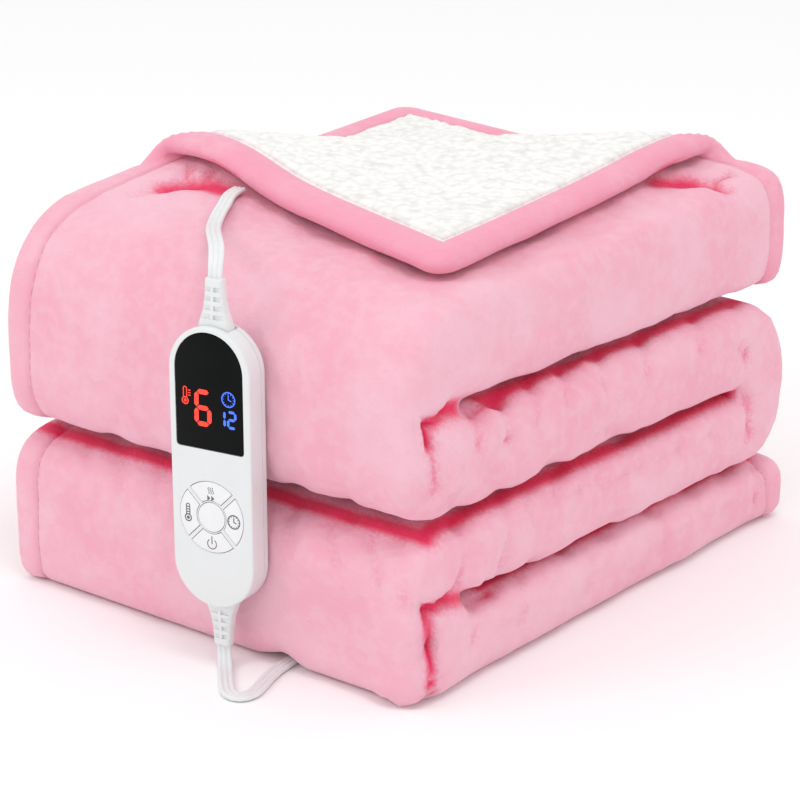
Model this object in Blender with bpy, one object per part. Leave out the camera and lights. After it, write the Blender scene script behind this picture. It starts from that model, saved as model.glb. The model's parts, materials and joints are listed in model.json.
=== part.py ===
"""An electric heated blanket, folded for storage, with its wired hand control.

The blanket is one sheet of flannel and sherpa, which takes 1.21 by 1.42 m along its middle in
these folds. It is folded in half twice across its width, then back and forth into four layers,
and the top corner at the back is turned over towards the front. The hand control stands against
the left front face. Its upper cord runs in under the turned corner, and its lower cord runs under
the blanket to a coil behind it.

Metres, +Z up. The origin is on the surface that the blanket lies on, under the middle of the
stack. The rounded folds at the stack's right end face +X, and the handset stands on the -Y side.
"""

import math

import bmesh
import bpy
from mathutils import Matrix, Vector

for item in list(bpy.data.objects):
    bpy.data.objects.remove(item, do_unlink=True)

# ---------------------------------------------------------------- blanket: driving dimensions
WIDTH = 0.310  # the stack, left end to the folds on the right
DEPTH = 0.370  # the stack, front to back
SHEET = 0.0115  # the sheet: flannel, sherpa and pile
HEM_BEVEL = 0.0040  # how far the hem is rounded off
SHEET_PITCH = 0.0135  # sheet to sheet inside a layer
LAYER_PITCH = 0.0570  # layer to layer, four sheets each
HEM_STEP = 0.0040  # how far the hems stay inside the folds that they lie between

HALF_SHEET = SHEET / 2
OUTER_FOLD = 1.5 * SHEET_PITCH  # middle radius of the outer fold at +X
INNER_FOLD = 0.5 * SHEET_PITCH
HALF_LAYER = OUTER_FOLD + HALF_SHEET
LAYER_FOLD = LAYER_PITCH / 2  # middle radius of the folds at -Y and +Y
LAYER_REACH = LAYER_FOLD + HALF_LAYER

FOLD_X = WIDTH / 2 - HALF_LAYER  # where the folds at +X begin to turn
FIRST_FOLD_X = -WIDTH / 2 + INNER_FOLD + HALF_SHEET
HEM_X = -WIDTH / 2 + HEM_STEP
FOLD_Y = DEPTH / 2 - LAYER_REACH
HEM_Y = DEPTH / 2 - HEM_STEP / 2
TOP_LAYER_Z = HALF_LAYER + 3 * LAYER_PITCH

# The cloth's two fold paths. A right turn is negative. Cells is the number of facets.
# kind, length of a run or radius of a half turn, cells
WIDTH_PATH = (
    ("run", FOLD_X - HEM_X, 0),
    ("turn", -OUTER_FOLD, 6),
    ("run", FOLD_X - FIRST_FOLD_X, 0),
    ("turn", -INNER_FOLD, 4),
    ("run", FOLD_X - FIRST_FOLD_X, 0),
    ("turn", INNER_FOLD, 4),
    ("run", FOLD_X - HEM_X, 0),
)
LENGTH_PATH = (
    ("run", HEM_Y + FOLD_Y, 6),
    ("turn", -LAYER_FOLD, 8),
    ("run", 2 * FOLD_Y, 4),
    ("turn", LAYER_FOLD, 6),
    ("run", 2 * FOLD_Y, 4),
    ("turn", -LAYER_FOLD, 8),
    ("run", HEM_Y + FOLD_Y, 6),
)
# Where the cloth is divided across each sheet. The middle ones follow the cord's tunnel.
SHEET_DIVISIONS = (-0.090, -0.030, 0.033, 0.044, 0.055, 0.066, 0.077, 0.103)

# The corner that is turned over: its fold line's ends, where the corner lands, and the roll.
TURN_LEFT = Vector((HEM_X, -0.090))
TURN_RIGHT = Vector((FOLD_X - 0.002, HEM_Y))
CORNER = Vector((HEM_X, HEM_Y))
CORNER_LANDS = Vector((0.130, -0.132))
ROLL_RADIUS = 0.0080
ROLL_CELLS = 5
FLAP_GAP = 0.0050  # under the turned corner, where the cord runs in
SETTLE_LENGTH = 0.080
SETTLE_CELLS = 4

# How square the folds have settled under the weight above them: 2 is round, and more is squarer.
END_FOLD_SQUARE = 3.6  # the folds at +X
# the way that a layer fold faces along Y, the height of its middle, upper half, lower half
LAYER_FOLDS = (
    (-1, TOP_LAYER_Z - LAYER_FOLD, 2.3, 4.5),
    (1, TOP_LAYER_Z - LAYER_FOLD - LAYER_PITCH, 3.0, 3.0),
    (-1, TOP_LAYER_Z - LAYER_FOLD - 2 * LAYER_PITCH, 3.6, 9.0),
)
# How the stack has settled: the heights between its layers at each corner of the stack.
# before, near (+X -Y), right (+X +Y), left (-X -Y), rear (-X +Y)
SETTLED = (
    (0.0000, 0.0000, 0.0000, 0.0000, 0.0000),
    (0.0545, 0.0500, 0.0420, 0.0530, 0.0500),
    (0.1115, 0.1020, 0.0965, 0.1000, 0.0970),
    (0.1685, 0.1640, 0.1570, 0.1600, 0.1560),
    (0.2230, 0.2250, 0.2340, 0.2340, 0.2640),
)
# How far the cloth bulges out past the stack on each side, and where it starts to.
BULGE_FRONT = 0.0195
BULGE_RIGHT = 0.0070
BULGE_RIGHT_TOP = 0.1800  # the top layer's own folds don't bulge
BULGE_REAR = 0.0100
BULGE_LEFT_FRONT = 0.0080
BULGE_LEFT_REAR = 0.0140
BULGE_STARTS = 0.060  # from the middle of the stack
# Where the turned corner's two ends push the top up.
# x, y, height, reach
LIFTS = (
    (-0.095, -0.075, 0.010, 0.050),
    (0.105, 0.115, 0.003, 0.050),
)
LIFT_STARTS = TOP_LAYER_Z - HALF_LAYER
PRESSED = 0.0012  # cloth that is lower than this is pressed flat onto the surface below

# The tunnel that the lower cord presses into the underside.
TUNNEL_X = 0.060
TUNNEL_HALF_WIDTH = 0.022
TUNNEL_HEIGHT = 0.0060
TUNNEL_FADES = 0.050

# ---------------------------------------------------------------- handset: driving dimensions
HANDSET_WIDTH = 0.054
HANDSET_HEIGHT = 0.168
BACK_SHELL = 0.0055
FRONT_SHELL = 0.0122
PARTING = 0.0003
SHELL_EDGE = 0.0018
SHELL_EDGE_STEPS = 3
SHELL_FACE = BACK_SHELL + PARTING + FRONT_SHELL
HANDSET_YAW = math.radians(9.0)
HANDSET_BACK = Vector((0.0294, -0.2097, 0.1231))  # the middle of its back
POCKET_PAST = 0.0020  # how far the pockets' cutters stand out of the face

WINDOW_WIDTH = 0.0450
WINDOW_TOP = HANDSET_HEIGHT / 2 - 0.0032
WINDOW_BOTTOM = 0.0119
WINDOW_CORNER = 0.0020
WINDOW_THICK = 0.0014
WINDOW_SINK = 0.0002

KEYS_Y = -0.0285
KEYS_RADIUS = 0.0213
KEY_INNER = 0.0103
DISC_RADIUS = 0.0088
KEY_SPLIT = 0.0030  # from key to key, with a bar of the shell between them
KEY_CLEARANCE = 0.0004
KEY_THICK = 0.0018
KEY_PROUD = 0.0004
KEY_TRAVEL_ROOM = 0.0012
KEY_POCKET = KEY_THICK + KEY_TRAVEL_ROOM - KEY_PROUD
KEY_STEPS = 9
KEY_EDGE = 0.0003
DISC_SIDES = 24
# name, the way that it lies from the middle of the ring
KEYS = (
    ("key_clock", 0),
    ("key_heat", 90),
    ("key_temperature", 180),
    ("key_power", 270),
)

RELIEF_MIDDLE = 0.0085  # out of the handset's back
RELIEF_SINK = 0.0032
RELIEF_LENGTH = 0.0297
# share of the length, width, thickness
RELIEF_SECTIONS = (
    (0.00, 0.0212, 0.0110),
    (0.09, 0.0206, 0.0108),
    (0.20, 0.0184, 0.0102),
    (0.32, 0.0158, 0.0094),
    (0.46, 0.0138, 0.0086),
    (0.62, 0.0123, 0.0080),
    (0.80, 0.0116, 0.0076),
    (0.96, 0.0113, 0.0074),
    (1.00, 0.0104, 0.0064),
)
# The slots on both faces, on each side of a spine: share of the length, height above the middle.
RELIEF_SLOTS = (
    (0.27, 0.0036),
    (0.44, 0.0031),
    (0.62, 0.0027),
    (0.80, 0.0025),
)
SLOT_TALL = 0.0028
SPINE_HALF = 0.0009
SLOT_PAST = 0.0125  # how far the slots' cutters reach from the middle

# ---------------------------------------------------------------- cords: driving dimensions
CORD_WIDTH = 0.0090
CORD_THICK = 0.0030
CORD_STEP = 0.024
CORD_TILT = math.pi / 2  # lays a cord's width level where it runs on the floor
GAP = 0.0003
FLOOR_CORD_Z = CORD_THICK / 2 + 0.0006

COIL_RADIUS = 0.0500
COIL_TURNS = 4.25
COIL_PITCH = 0.0032
COIL_WIDTH = 0.0098
COIL_SIDES = 48
COIL_BOTTOM = 0.0002
COIL_RISE = COIL_TURNS * COIL_PITCH
COIL_TOP = COIL_BOTTOM + COIL_RISE + CORD_THICK
COIL_CENTRE = Vector((TUNNEL_X - COIL_RADIUS, 0.262))
# How far from the coil's middle a straight cord, run at the coil's radius, stops short of the ring.
COIL_MEETS = math.sqrt((COIL_RADIUS + COIL_WIDTH / 2) ** 2 - (COIL_RADIUS - CORD_WIDTH / 2) ** 2) + GAP

PLUG_Z = 0.0083
TAIL_LENGTH = 0.020  # from the end of the ring to the plug's strain relief
# share of the tail's length, share of its drop from the coil's top turn to the plug
TAIL_DROPS = (
    (0.00, 0.00),
    (0.30, 0.17),
    (0.70, 0.87),
    (1.00, 1.00),
)
# distance from the start of the strain relief, width, height
PLUG_SECTIONS = (
    (0.0000, 0.0110, 0.0060),
    (0.0060, 0.0118, 0.0066),
    (0.0150, 0.0140, 0.0090),
    (0.0190, 0.0190, 0.0130),
    (0.0215, 0.0230, 0.0155),
    (0.0400, 0.0245, 0.0160),
    (0.0480, 0.0240, 0.0160),
    (0.0495, 0.0225, 0.0146),
)
BLADE_LENGTH = 0.0170
BLADE_WIDTH = 0.0063
BLADE_THICK = 0.0015
BLADE_SPACING = 0.0127

# The routes of the two cords' middle lines.
# Out of the handset's top, back over the blanket's rounded front, and in under the turned corner.
UPPER_ROUTE = (
    (0.0307, -0.2181, 0.2339),
    (0.0303, -0.2172, 0.2395),
    (0.0272, -0.2130, 0.2440),
    (0.0205, -0.2055, 0.2465),
    (0.0100, -0.1950, 0.2465),
    (-0.0035, -0.1815, 0.2440),
    (-0.0165, -0.1680, 0.2400),
    (-0.0290, -0.1540, 0.2365),
    (-0.0380, -0.1423, 0.2378),
    (-0.0450, -0.1318, 0.2402),
    (-0.0515, -0.1203, 0.2426),
    (-0.0573, -0.1101, 0.2444),
    (-0.0604, -0.1020, 0.2452),
    (-0.0618, -0.0950, 0.2457),
)
# Out of the handset's bottom, round on the floor in front of it, and into the tunnel under the blanket.
LOWER_ROUTE = (
    (0.0307, -0.2181, 0.0118),
    (0.0315, -0.2189, 0.0072),
    (0.0342, -0.2216, 0.0038),
    (0.0380, -0.2254, 0.0024),
    (0.0460, -0.2338, FLOOR_CORD_Z),
    (0.0560, -0.2440, FLOOR_CORD_Z),
    (0.0640, -0.2500, FLOOR_CORD_Z),
    (0.0712, -0.2492, FLOOR_CORD_Z),
    (0.0735, -0.2420, FLOOR_CORD_Z),
    (0.0708, -0.2320, FLOOR_CORD_Z),
    (0.0665, -0.2200, FLOOR_CORD_Z),
    (0.0630, -0.2060, FLOOR_CORD_Z),
    (0.0608, -0.1850, FLOOR_CORD_Z),
    (TUNNEL_X, -0.1500, FLOOR_CORD_Z),
    (TUNNEL_X, -0.1000, FLOOR_CORD_Z),
    (TUNNEL_X, 0.0000, FLOOR_CORD_Z),
    (TUNNEL_X, 0.1000, FLOOR_CORD_Z),
    (TUNNEL_X, COIL_CENTRE.y - COIL_MEETS, FLOOR_CORD_Z),
)

# ---------------------------------------------------------------- finishes
PINK = (0.90, 0.36, 0.47)
SHELL_WHITE = (0.86, 0.86, 0.87)
KEY_WHITE = (0.80, 0.80, 0.81)
CORD_WHITE = (0.84, 0.84, 0.85)
WINDOW_BLACK = (0.012, 0.012, 0.014)
STEEL = (0.62, 0.62, 0.64)


def finish(name, colour, roughness, metallic=0.0):
    material = bpy.data.materials.new(name)
    material.use_nodes = True
    shader = material.node_tree.nodes["Principled BSDF"]
    shader.inputs["Base Color"].default_value = (*colour, 1.0)
    shader.inputs["Roughness"].default_value = roughness
    shader.inputs["Metallic"].default_value = metallic
    return material


def place(name, bm, material, frame=None, sharp=35.0):
    """A finished object from a bmesh, with its faces pointing out."""
    bmesh.ops.recalc_face_normals(bm, faces=bm.faces)
    mesh = bpy.data.meshes.new(name)
    bm.to_mesh(mesh)
    bm.free()
    mesh.materials.append(material)
    mesh.shade_smooth()
    mesh.set_sharp_from_angle(angle=math.radians(sharp))
    item = bpy.data.objects.new(name, mesh)
    bpy.context.scene.collection.objects.link(item)
    if frame is not None:
        item.matrix_world = frame
    return item


# ---------------------------------------------------------------- blanket
def path_length(path):
    return sum(size if kind == "run" else abs(size) * math.pi for kind, size, _ in path)


def along(path, start, distance, offset):
    """The point at a distance along a fold path that sets out along +a, set off to its left."""
    place_a, place_b = start
    heading = 0.0
    for index, (kind, size, _) in enumerate(path):
        length = size if kind == "run" else abs(size) * math.pi
        last = index == len(path) - 1
        part = distance if last else min(distance, length)
        if kind == "run":
            place_a += math.cos(heading) * part
            place_b += math.sin(heading) * part
        else:
            centre_a = place_a - math.sin(heading) * size
            centre_b = place_b + math.cos(heading) * size
            heading += part / size
            place_a = centre_a + math.sin(heading) * size
            place_b = centre_b - math.cos(heading) * size
        distance -= part
        if distance <= 0:
            break
    return place_a - math.sin(heading) * offset, place_b + math.cos(heading) * offset


def length_cuts():
    """Distances along the length at which the flat cloth is divided."""
    cuts = []
    done = 0.0
    for kind, size, cells in LENGTH_PATH:
        length = size if kind == "run" else abs(size) * math.pi
        cuts += [done + length * step / cells for step in range(1, cells + 1)]
        done += length
    return cuts[:-1]


def width_cuts():
    """Distances across the width at which the flat cloth is divided."""
    cuts = []
    done = 0.0
    start_x = HEM_X
    forward = True
    for kind, size, cells in WIDTH_PATH:
        length = size if kind == "run" else abs(size) * math.pi
        if kind == "run":
            for x in SHEET_DIVISIONS:
                cuts.append(done + abs(x - start_x))
            forward = not forward
            start_x = FIRST_FOLD_X if forward else FOLD_X
        else:
            cuts += [done + length * step / cells for step in range(cells + 1)]
        done += length
    return cuts


def turned(point):
    """How far a point of the top sheet lies past the corner's fold line, and the way it turns."""
    line = (TURN_RIGHT - TURN_LEFT).normalized()
    square = Vector((line.y, -line.x))
    way = (CORNER_LANDS - CORNER).normalized()
    return -(point - TURN_LEFT).dot(square) / way.dot(square), way


CORNER_REACH, _ = turned(CORNER)
ROLL_LENGTH = math.pi * ROLL_RADIUS
FLAP_STRETCH = ((CORNER_LANDS - CORNER).length - CORNER_REACH) / (CORNER_REACH - ROLL_LENGTH)


def turn_corner(point, level, offset):
    """The place of a point of the top sheet once its corner has been rolled over and laid down."""
    past, way = turned(point)
    if past <= 0:
        return point, level + offset
    if past < ROLL_LENGTH:
        angle = past / ROLL_RADIUS
        swing = ROLL_RADIUS - offset
        rolled = point + way * (past - swing * math.sin(angle))
        return rolled, level + ROLL_RADIUS - swing * math.cos(angle)
    beyond = past - ROLL_LENGTH
    share = min(beyond / SETTLE_LENGTH, 1.0)
    ease = share * share * (3 - 2 * share)
    drop = (2 * ROLL_RADIUS - SHEET - FLAP_GAP) * ease
    return point + way * (past + beyond * FLAP_STRETCH), level + 2 * ROLL_RADIUS - offset - drop


def blend(low, high, share):
    return low + (high - low) * share


def squared(across, rise, square):
    """A point of a half round fold, moved out to where it lies once the fold is squarer."""
    size = math.hypot(across, rise)
    if size == 0:
        return across, rise
    out = (abs(across / size) ** square + abs(rise / size) ** square) ** (-1 / square)
    return across * out, rise * out


def settle(x, y, z):
    """The stack as it has sunk and spread under its own weight."""
    across = x / WIDTH + 0.5
    back = y / DEPTH + 0.5
    levels = []
    for before, near, right, left, rear in SETTLED:
        levels.append((before, blend(blend(left, near, across), blend(rear, right, across), back)))
    height = levels[-1][1] + (z - levels[-1][0])
    for (low, low_now), (high, high_now) in zip(levels, levels[1:]):
        if z <= high:
            height = blend(low_now, high_now, (z - low) / (high - low))
            break
    aside = abs(x - TUNNEL_X)
    if aside < TUNNEL_HALF_WIDTH and z < TUNNEL_FADES:
        arch = 0.5 + 0.5 * math.cos(math.pi * aside / TUNNEL_HALF_WIDTH)
        height += TUNNEL_HEIGHT * arch * (1 - z / TUNNEL_FADES)
    if height < PRESSED:
        height = 0.0
    high = min(max((z - LIFT_STARTS) / (2 * HALF_LAYER), 0.0), 1.0)
    for lift_x, lift_y, lift, reach in LIFTS:
        height += high * lift * math.exp(-((x - lift_x) ** 2 + (y - lift_y) ** 2) / reach**2)
    out_x = max(0.0, (abs(x) - BULGE_STARTS) / (WIDTH / 2 - BULGE_STARTS))
    out_y = max(0.0, (abs(y) - BULGE_STARTS) / (DEPTH / 2 - BULGE_STARTS))
    bulge_right = BULGE_RIGHT * min(max((BULGE_RIGHT_TOP - z) / LAYER_FOLD, 0.0), 1.0)
    bulge_left = blend(BULGE_LEFT_FRONT, BULGE_LEFT_REAR, back)
    x += out_x * (bulge_right if x > 0 else -bulge_left)
    y += out_y * (BULGE_REAR if y > 0 else -BULGE_FRONT)
    return x, y, height


def fold(flat):
    """The folded place of a point of the flat cloth: across, along, and out on the flannel side."""
    x, level = along(WIDTH_PATH, (HEM_X, OUTER_FOLD), flat.x, flat.z)
    forward = flat.y
    if flat.x < FOLD_X - HEM_X and flat.y < HEM_Y + FOLD_Y:
        spot = Vector((x, HEM_Y - flat.y))
        spot, level = turn_corner(spot, OUTER_FOLD, flat.z)
        x, forward = spot.x, HEM_Y - spot.y
    elif x > FOLD_X:
        past, level = squared(x - FOLD_X, level, END_FOLD_SQUARE)
        x = FOLD_X + past
    y, z = along(LENGTH_PATH, (-HEM_Y, TOP_LAYER_Z), forward, level)
    y = -y
    for way, middle, upper, lower in LAYER_FOLDS:
        past, rise = way * y - FOLD_Y, z - middle
        if past > 0 and abs(rise) < LAYER_REACH:
            past, rise = squared(past, rise, upper if rise > 0 else lower)
            y, z = way * (FOLD_Y + past), middle + rise
            break
    return Vector(settle(x, y, z))


def cut_flat(bm, faces, point, normal):
    geometry = set(faces)
    for face in faces:
        geometry.update(face.edges)
        geometry.update(face.verts)
    bmesh.ops.bisect_plane(bm, geom=list(geometry), dist=1e-6, plane_co=point, plane_no=normal)


def make_blanket():
    """One sheet of cloth with a rounded hem, laid flat, divided where it folds, and folded."""
    length = path_length(LENGTH_PATH)
    width = path_length(WIDTH_PATH)
    bm = bmesh.new()
    bmesh.ops.create_cube(bm, size=1.0)
    bmesh.ops.scale(bm, vec=(width, length, SHEET), verts=bm.verts)
    bmesh.ops.translate(bm, vec=(width / 2, length / 2, 0.0), verts=bm.verts)
    rim = [edge for edge in bm.edges if abs(edge.verts[0].co.z - edge.verts[1].co.z) < 1e-6]
    bmesh.ops.bevel(
        bm, geom=rim, offset=HEM_BEVEL, segments=1, profile=0.5, affect="EDGES", material=-1
    )
    for distance in width_cuts():
        cut_flat(bm, bm.faces[:], (distance, 0, 0), (1, 0, 0))
    for distance in length_cuts():
        cut_flat(bm, bm.faces[:], (0, distance, 0), (0, 1, 0))
    line = (TURN_RIGHT - TURN_LEFT).normalized()
    square = Vector((-line.y, -line.x, 0.0))
    _, way = turned(CORNER)
    settle_step = SETTLE_LENGTH / SETTLE_CELLS
    steps = [ROLL_LENGTH * step / ROLL_CELLS for step in range(ROLL_CELLS + 1)]
    steps += [ROLL_LENGTH + settle_step * step for step in range(1, SETTLE_CELLS + 1)]
    for step in steps:
        top = [
            face
            for face in bm.faces
            if face.calc_center_median().x < FOLD_X - HEM_X
            and face.calc_center_median().y < HEM_Y + FOLD_Y
        ]
        start = TURN_LEFT - way * step
        cut_flat(bm, top, (start.x - HEM_X, HEM_Y - start.y, 0.0), square)
    bmesh.ops.triangulate(bm, faces=[face for face in bm.faces if len(face.verts) > 4])
    for vert in bm.verts:
        vert.co = fold(vert.co)
    return place("blanket", bm, finish("pink_flannel", PINK, 0.85), sharp=80.0)


# ---------------------------------------------------------------- plates, sections and ribbons
def arc(centre, radius, start, end, steps):
    for step in range(steps + 1):
        angle = math.radians(start + (end - start) * step / steps)
        yield centre[0] + radius * math.cos(angle), centre[1] + radius * math.sin(angle)


def disc(radius, sides):
    return list(arc((0, 0), radius, 0, 360 - 360 / sides, sides - 1))


def stadium(width, height, steps=14):
    reach = height / 2 - width / 2
    return [
        *arc((0, reach), width / 2, 0, 180, steps),
        *arc((0, -reach), width / 2, 180, 360, steps),
    ]


def arched(width, bottom, top, corner, steps=14):
    """A window with a round top and small round corners below."""
    half = width / 2
    return [
        *arc((0, top - half), half, 0, 180, steps),
        *arc((corner - half, bottom + corner), corner, 180, 270, 3),
        *arc((half - corner, bottom + corner), corner, 270, 360, 3),
    ]


def key_outline(middle, grow=0.0, steps=KEY_STEPS):
    """A quarter of the key ring, drawn back from its neighbours by the same split all along."""
    inner, outer, half_split = KEY_INNER - grow, KEYS_RADIUS + grow, KEY_SPLIT / 2 - grow
    back_out = math.degrees(math.asin(half_split / outer))
    back_in = math.degrees(math.asin(half_split / inner))
    start, end = middle - 45, middle + 45
    return [
        *arc((0, 0), outer, start + back_out, end - back_out, steps),
        *arc((0, 0), inner, end - back_in, start + back_in, steps // 2),
    ]


def plate(outline, low, high, edge=0.0, segments=1):
    """A flat piece of the outline's shape from one level to another, with its second edge rounded."""
    bm = bmesh.new()
    face = bm.faces.new([bm.verts.new((x, y, low)) for x, y in outline])
    lifted = bmesh.ops.extrude_face_region(bm, geom=[face])["geom"]
    verts = [part for part in lifted if isinstance(part, bmesh.types.BMVert)]
    bmesh.ops.translate(bm, vec=(0, 0, high - low), verts=verts)
    if edge:
        rounded = [e for e in bm.edges if all(abs(v.co.z - high) < 1e-7 for v in e.verts)]
        bmesh.ops.bevel(
            bm, geom=rounded, offset=edge, segments=segments, profile=0.5, affect="EDGES", material=-1
        )
    return bm


def oblong(width, thick, power=0.55, steps=12):
    """A rectangle with soft corners, as points round its middle."""
    points = []
    for step in range(steps):
        angle = 2 * math.pi * (step + 0.5) / steps
        c, s = math.cos(angle), math.sin(angle)
        points.append(
            (
                math.copysign(abs(c) ** power, c) * width / 2,
                math.copysign(abs(s) ** power, s) * thick / 2,
            )
        )
    return points


def moulding(sections):
    """A closed piece through sections (distance, width, thickness) along local +Z."""
    bm = bmesh.new()
    distance, width, thick = sections[0]
    face = bm.faces.new([bm.verts.new((x, y, distance)) for x, y in oblong(width, thick)])
    for index, (distance, width, thick) in enumerate(sections[1:]):
        grown = bmesh.ops.extrude_face_region(bm, geom=[face])["geom"]
        if index:
            bmesh.ops.delete(bm, geom=[face], context="FACES_ONLY")
        face = next(part for part in grown if isinstance(part, bmesh.types.BMFace))
        ring = sorted(face.verts, key=lambda v: math.atan2(v.co.y, v.co.x) % (2 * math.pi))
        for vert, (x, y) in zip(ring, oblong(width, thick)):
            vert.co = (x, y, distance)
    return bm


def smooth_route(route, step):
    """Points read every step or so from one smooth curve through the route's points."""
    knots = [Vector(point) for point in route]
    ends = [2 * knots[0] - knots[1], *knots, 2 * knots[-1] - knots[-2]]
    points = [knots[0]]
    for before, here, there, after in zip(ends, ends[1:], ends[2:], ends[3:]):
        count = max(1, round((there - here).length / step))
        for part in range(1, count + 1):
            t = part / count
            points.append(
                0.5
                * (
                    2 * here
                    + (there - before) * t
                    + (2 * before - 5 * here + 4 * there - after) * t * t
                    + (3 * here - before - 3 * there + after) * t * t * t
                )
            )
    return points


def ribbon(name, route, material):
    """A flat cord with round edges and closed ends along a route."""
    points = smooth_route(route, CORD_STEP)
    curve = bpy.data.curves.new(name, "CURVE")
    curve.dimensions = "3D"
    curve.bevel_depth = CORD_THICK / 2
    curve.bevel_resolution = 2
    curve.extrude = (CORD_WIDTH - CORD_THICK) / 2
    curve.use_fill_caps = True
    curve.twist_mode = "MINIMUM"
    spline = curve.splines.new("POLY")
    spline.points.add(len(points) - 1)
    for spot, point in zip(spline.points, points):
        spot.co = (*point, 1.0)
        spot.tilt = CORD_TILT
    curve.materials.append(material)
    item = bpy.data.objects.new(name, curve)
    bpy.context.scene.collection.objects.link(item)
    return item


# ---------------------------------------------------------------- handset
def handset_frame(x=0.0, y=0.0, z=0.0):
    """The place of a handset piece, from the middle of its back: x across, y up and z out."""
    across = Vector((math.cos(HANDSET_YAW), math.sin(HANDSET_YAW), 0.0))
    up = Vector((0.0, 0.0, 1.0))
    out = across.cross(up)
    spot = HANDSET_BACK + across * x + up * y + out * z
    frame = Matrix((across, up, out)).transposed().to_4x4()
    frame.translation = spot
    return frame


def cutter(name, bm):
    item = place(name, bm, finish(name, (0.5, 0.5, 0.5), 0.5), handset_frame())
    item.hide_render = True
    item.display_type = "WIRE"
    return item


def cut(item, tool):
    modifier = item.modifiers.new(tool.name, "BOOLEAN")
    modifier.object = tool
    modifier.operation = "DIFFERENCE"
    modifier.solver = "EXACT"


def make_shells():
    white = finish("white_plastic", SHELL_WHITE, 0.35)
    outline = stadium(HANDSET_WIDTH, HANDSET_HEIGHT)
    back = plate(outline, BACK_SHELL, 0.0, SHELL_EDGE, SHELL_EDGE_STEPS)
    back_shell = place("handset_back", back, white, handset_frame())
    front = plate(outline, BACK_SHELL + PARTING, SHELL_FACE, SHELL_EDGE, SHELL_EDGE_STEPS)
    front_shell = place("handset_front", front, white, handset_frame())

    _, relief_width, relief_thick = RELIEF_SECTIONS[0]
    room = (relief_width + 2 * PARTING, 2 * (RELIEF_SINK + PARTING), relief_thick + 2 * PARTING)
    for name, side in (("relief_seat_top", 1), ("relief_seat_bottom", -1)):
        bm = bmesh.new()
        bmesh.ops.create_cube(bm, size=1.0)
        bmesh.ops.scale(bm, vec=room, verts=bm.verts)
        bmesh.ops.translate(bm, vec=(0, side * HANDSET_HEIGHT / 2, RELIEF_MIDDLE), verts=bm.verts)
        seat = cutter(name, bm)
        cut(back_shell, seat)
        cut(front_shell, seat)

    pocket_top = SHELL_FACE + POCKET_PAST
    window_room = arched(
        WINDOW_WIDTH + 2 * PARTING,
        WINDOW_BOTTOM - PARTING,
        WINDOW_TOP + PARTING,
        WINDOW_CORNER + PARTING,
    )
    window_floor = SHELL_FACE - WINDOW_SINK - WINDOW_THICK - PARTING
    cut(front_shell, cutter("window_pocket", plate(window_room, window_floor, pocket_top)))
    rooms = [("disc_pocket", disc(DISC_RADIUS + KEY_CLEARANCE, DISC_SIDES))]
    rooms += [(name + "_pocket", key_outline(middle, KEY_CLEARANCE)) for name, middle in KEYS]
    for name, room in rooms:
        room = [(x, y + KEYS_Y) for x, y in room]
        cut(front_shell, cutter(name, plate(room, SHELL_FACE - KEY_POCKET, pocket_top)))

    glass = arched(WINDOW_WIDTH, WINDOW_BOTTOM, WINDOW_TOP, WINDOW_CORNER)
    top = SHELL_FACE - WINDOW_SINK
    black = finish("black_window", WINDOW_BLACK, 0.08)
    place("display_window", plate(glass, top - WINDOW_THICK, top), black, handset_frame())


def make_keys():
    """The fixed disc, and the four keys round it, each with its origin on its line of travel."""
    white = finish("key_plastic", KEY_WHITE, 0.4)
    top = SHELL_FACE + KEY_PROUD
    floor = SHELL_FACE - KEY_POCKET + PARTING
    middle_disc = plate(disc(DISC_RADIUS, DISC_SIDES), floor, top, KEY_EDGE)
    place("key_disc", middle_disc, white, handset_frame(0, KEYS_Y))
    reach = (KEY_INNER + KEYS_RADIUS) / 2
    for name, middle in KEYS:
        angle = math.radians(middle)
        x, y = reach * math.cos(angle), reach * math.sin(angle)
        bm = plate(key_outline(middle), -KEY_THICK, 0.0, KEY_EDGE)
        bmesh.ops.translate(bm, vec=(-x, -y, 0), verts=bm.verts)
        place(name, bm, white, handset_frame(x, KEYS_Y + y, top))


def make_reliefs():
    rubber = finish("white_rubber", CORD_WHITE, 0.5)
    half = HANDSET_HEIGHT / 2 - RELIEF_SINK
    sections = [(share * RELIEF_LENGTH, width, thick) for share, width, thick in RELIEF_SECTIONS]
    for name, side in (("relief_upper", 1), ("relief_lower", -1)):
        frame = handset_frame(0, side * half, RELIEF_MIDDLE)
        turn = Matrix.Rotation(math.radians(-90 * side), 4, "X")
        relief = place(name, moulding(sections), rubber, frame @ turn, sharp=50.0)
        bm = bmesh.new()
        for share, floor in RELIEF_SLOTS:
            for across, face in ((-1, -1), (-1, 1), (1, -1), (1, 1)):
                made = bmesh.ops.create_cube(bm, size=1.0)["verts"]
                size = (SLOT_PAST - SPINE_HALF, SLOT_TALL, SLOT_PAST - floor)
                bmesh.ops.scale(bm, vec=size, verts=made)
                x = across * (SLOT_PAST + SPINE_HALF) / 2
                y = side * (half + share * RELIEF_LENGTH)
                z = RELIEF_MIDDLE + face * (SLOT_PAST + floor) / 2
                bmesh.ops.translate(bm, vec=(x, y, z), verts=made)
        cut(relief, cutter(name + "_slots", bm))


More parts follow.
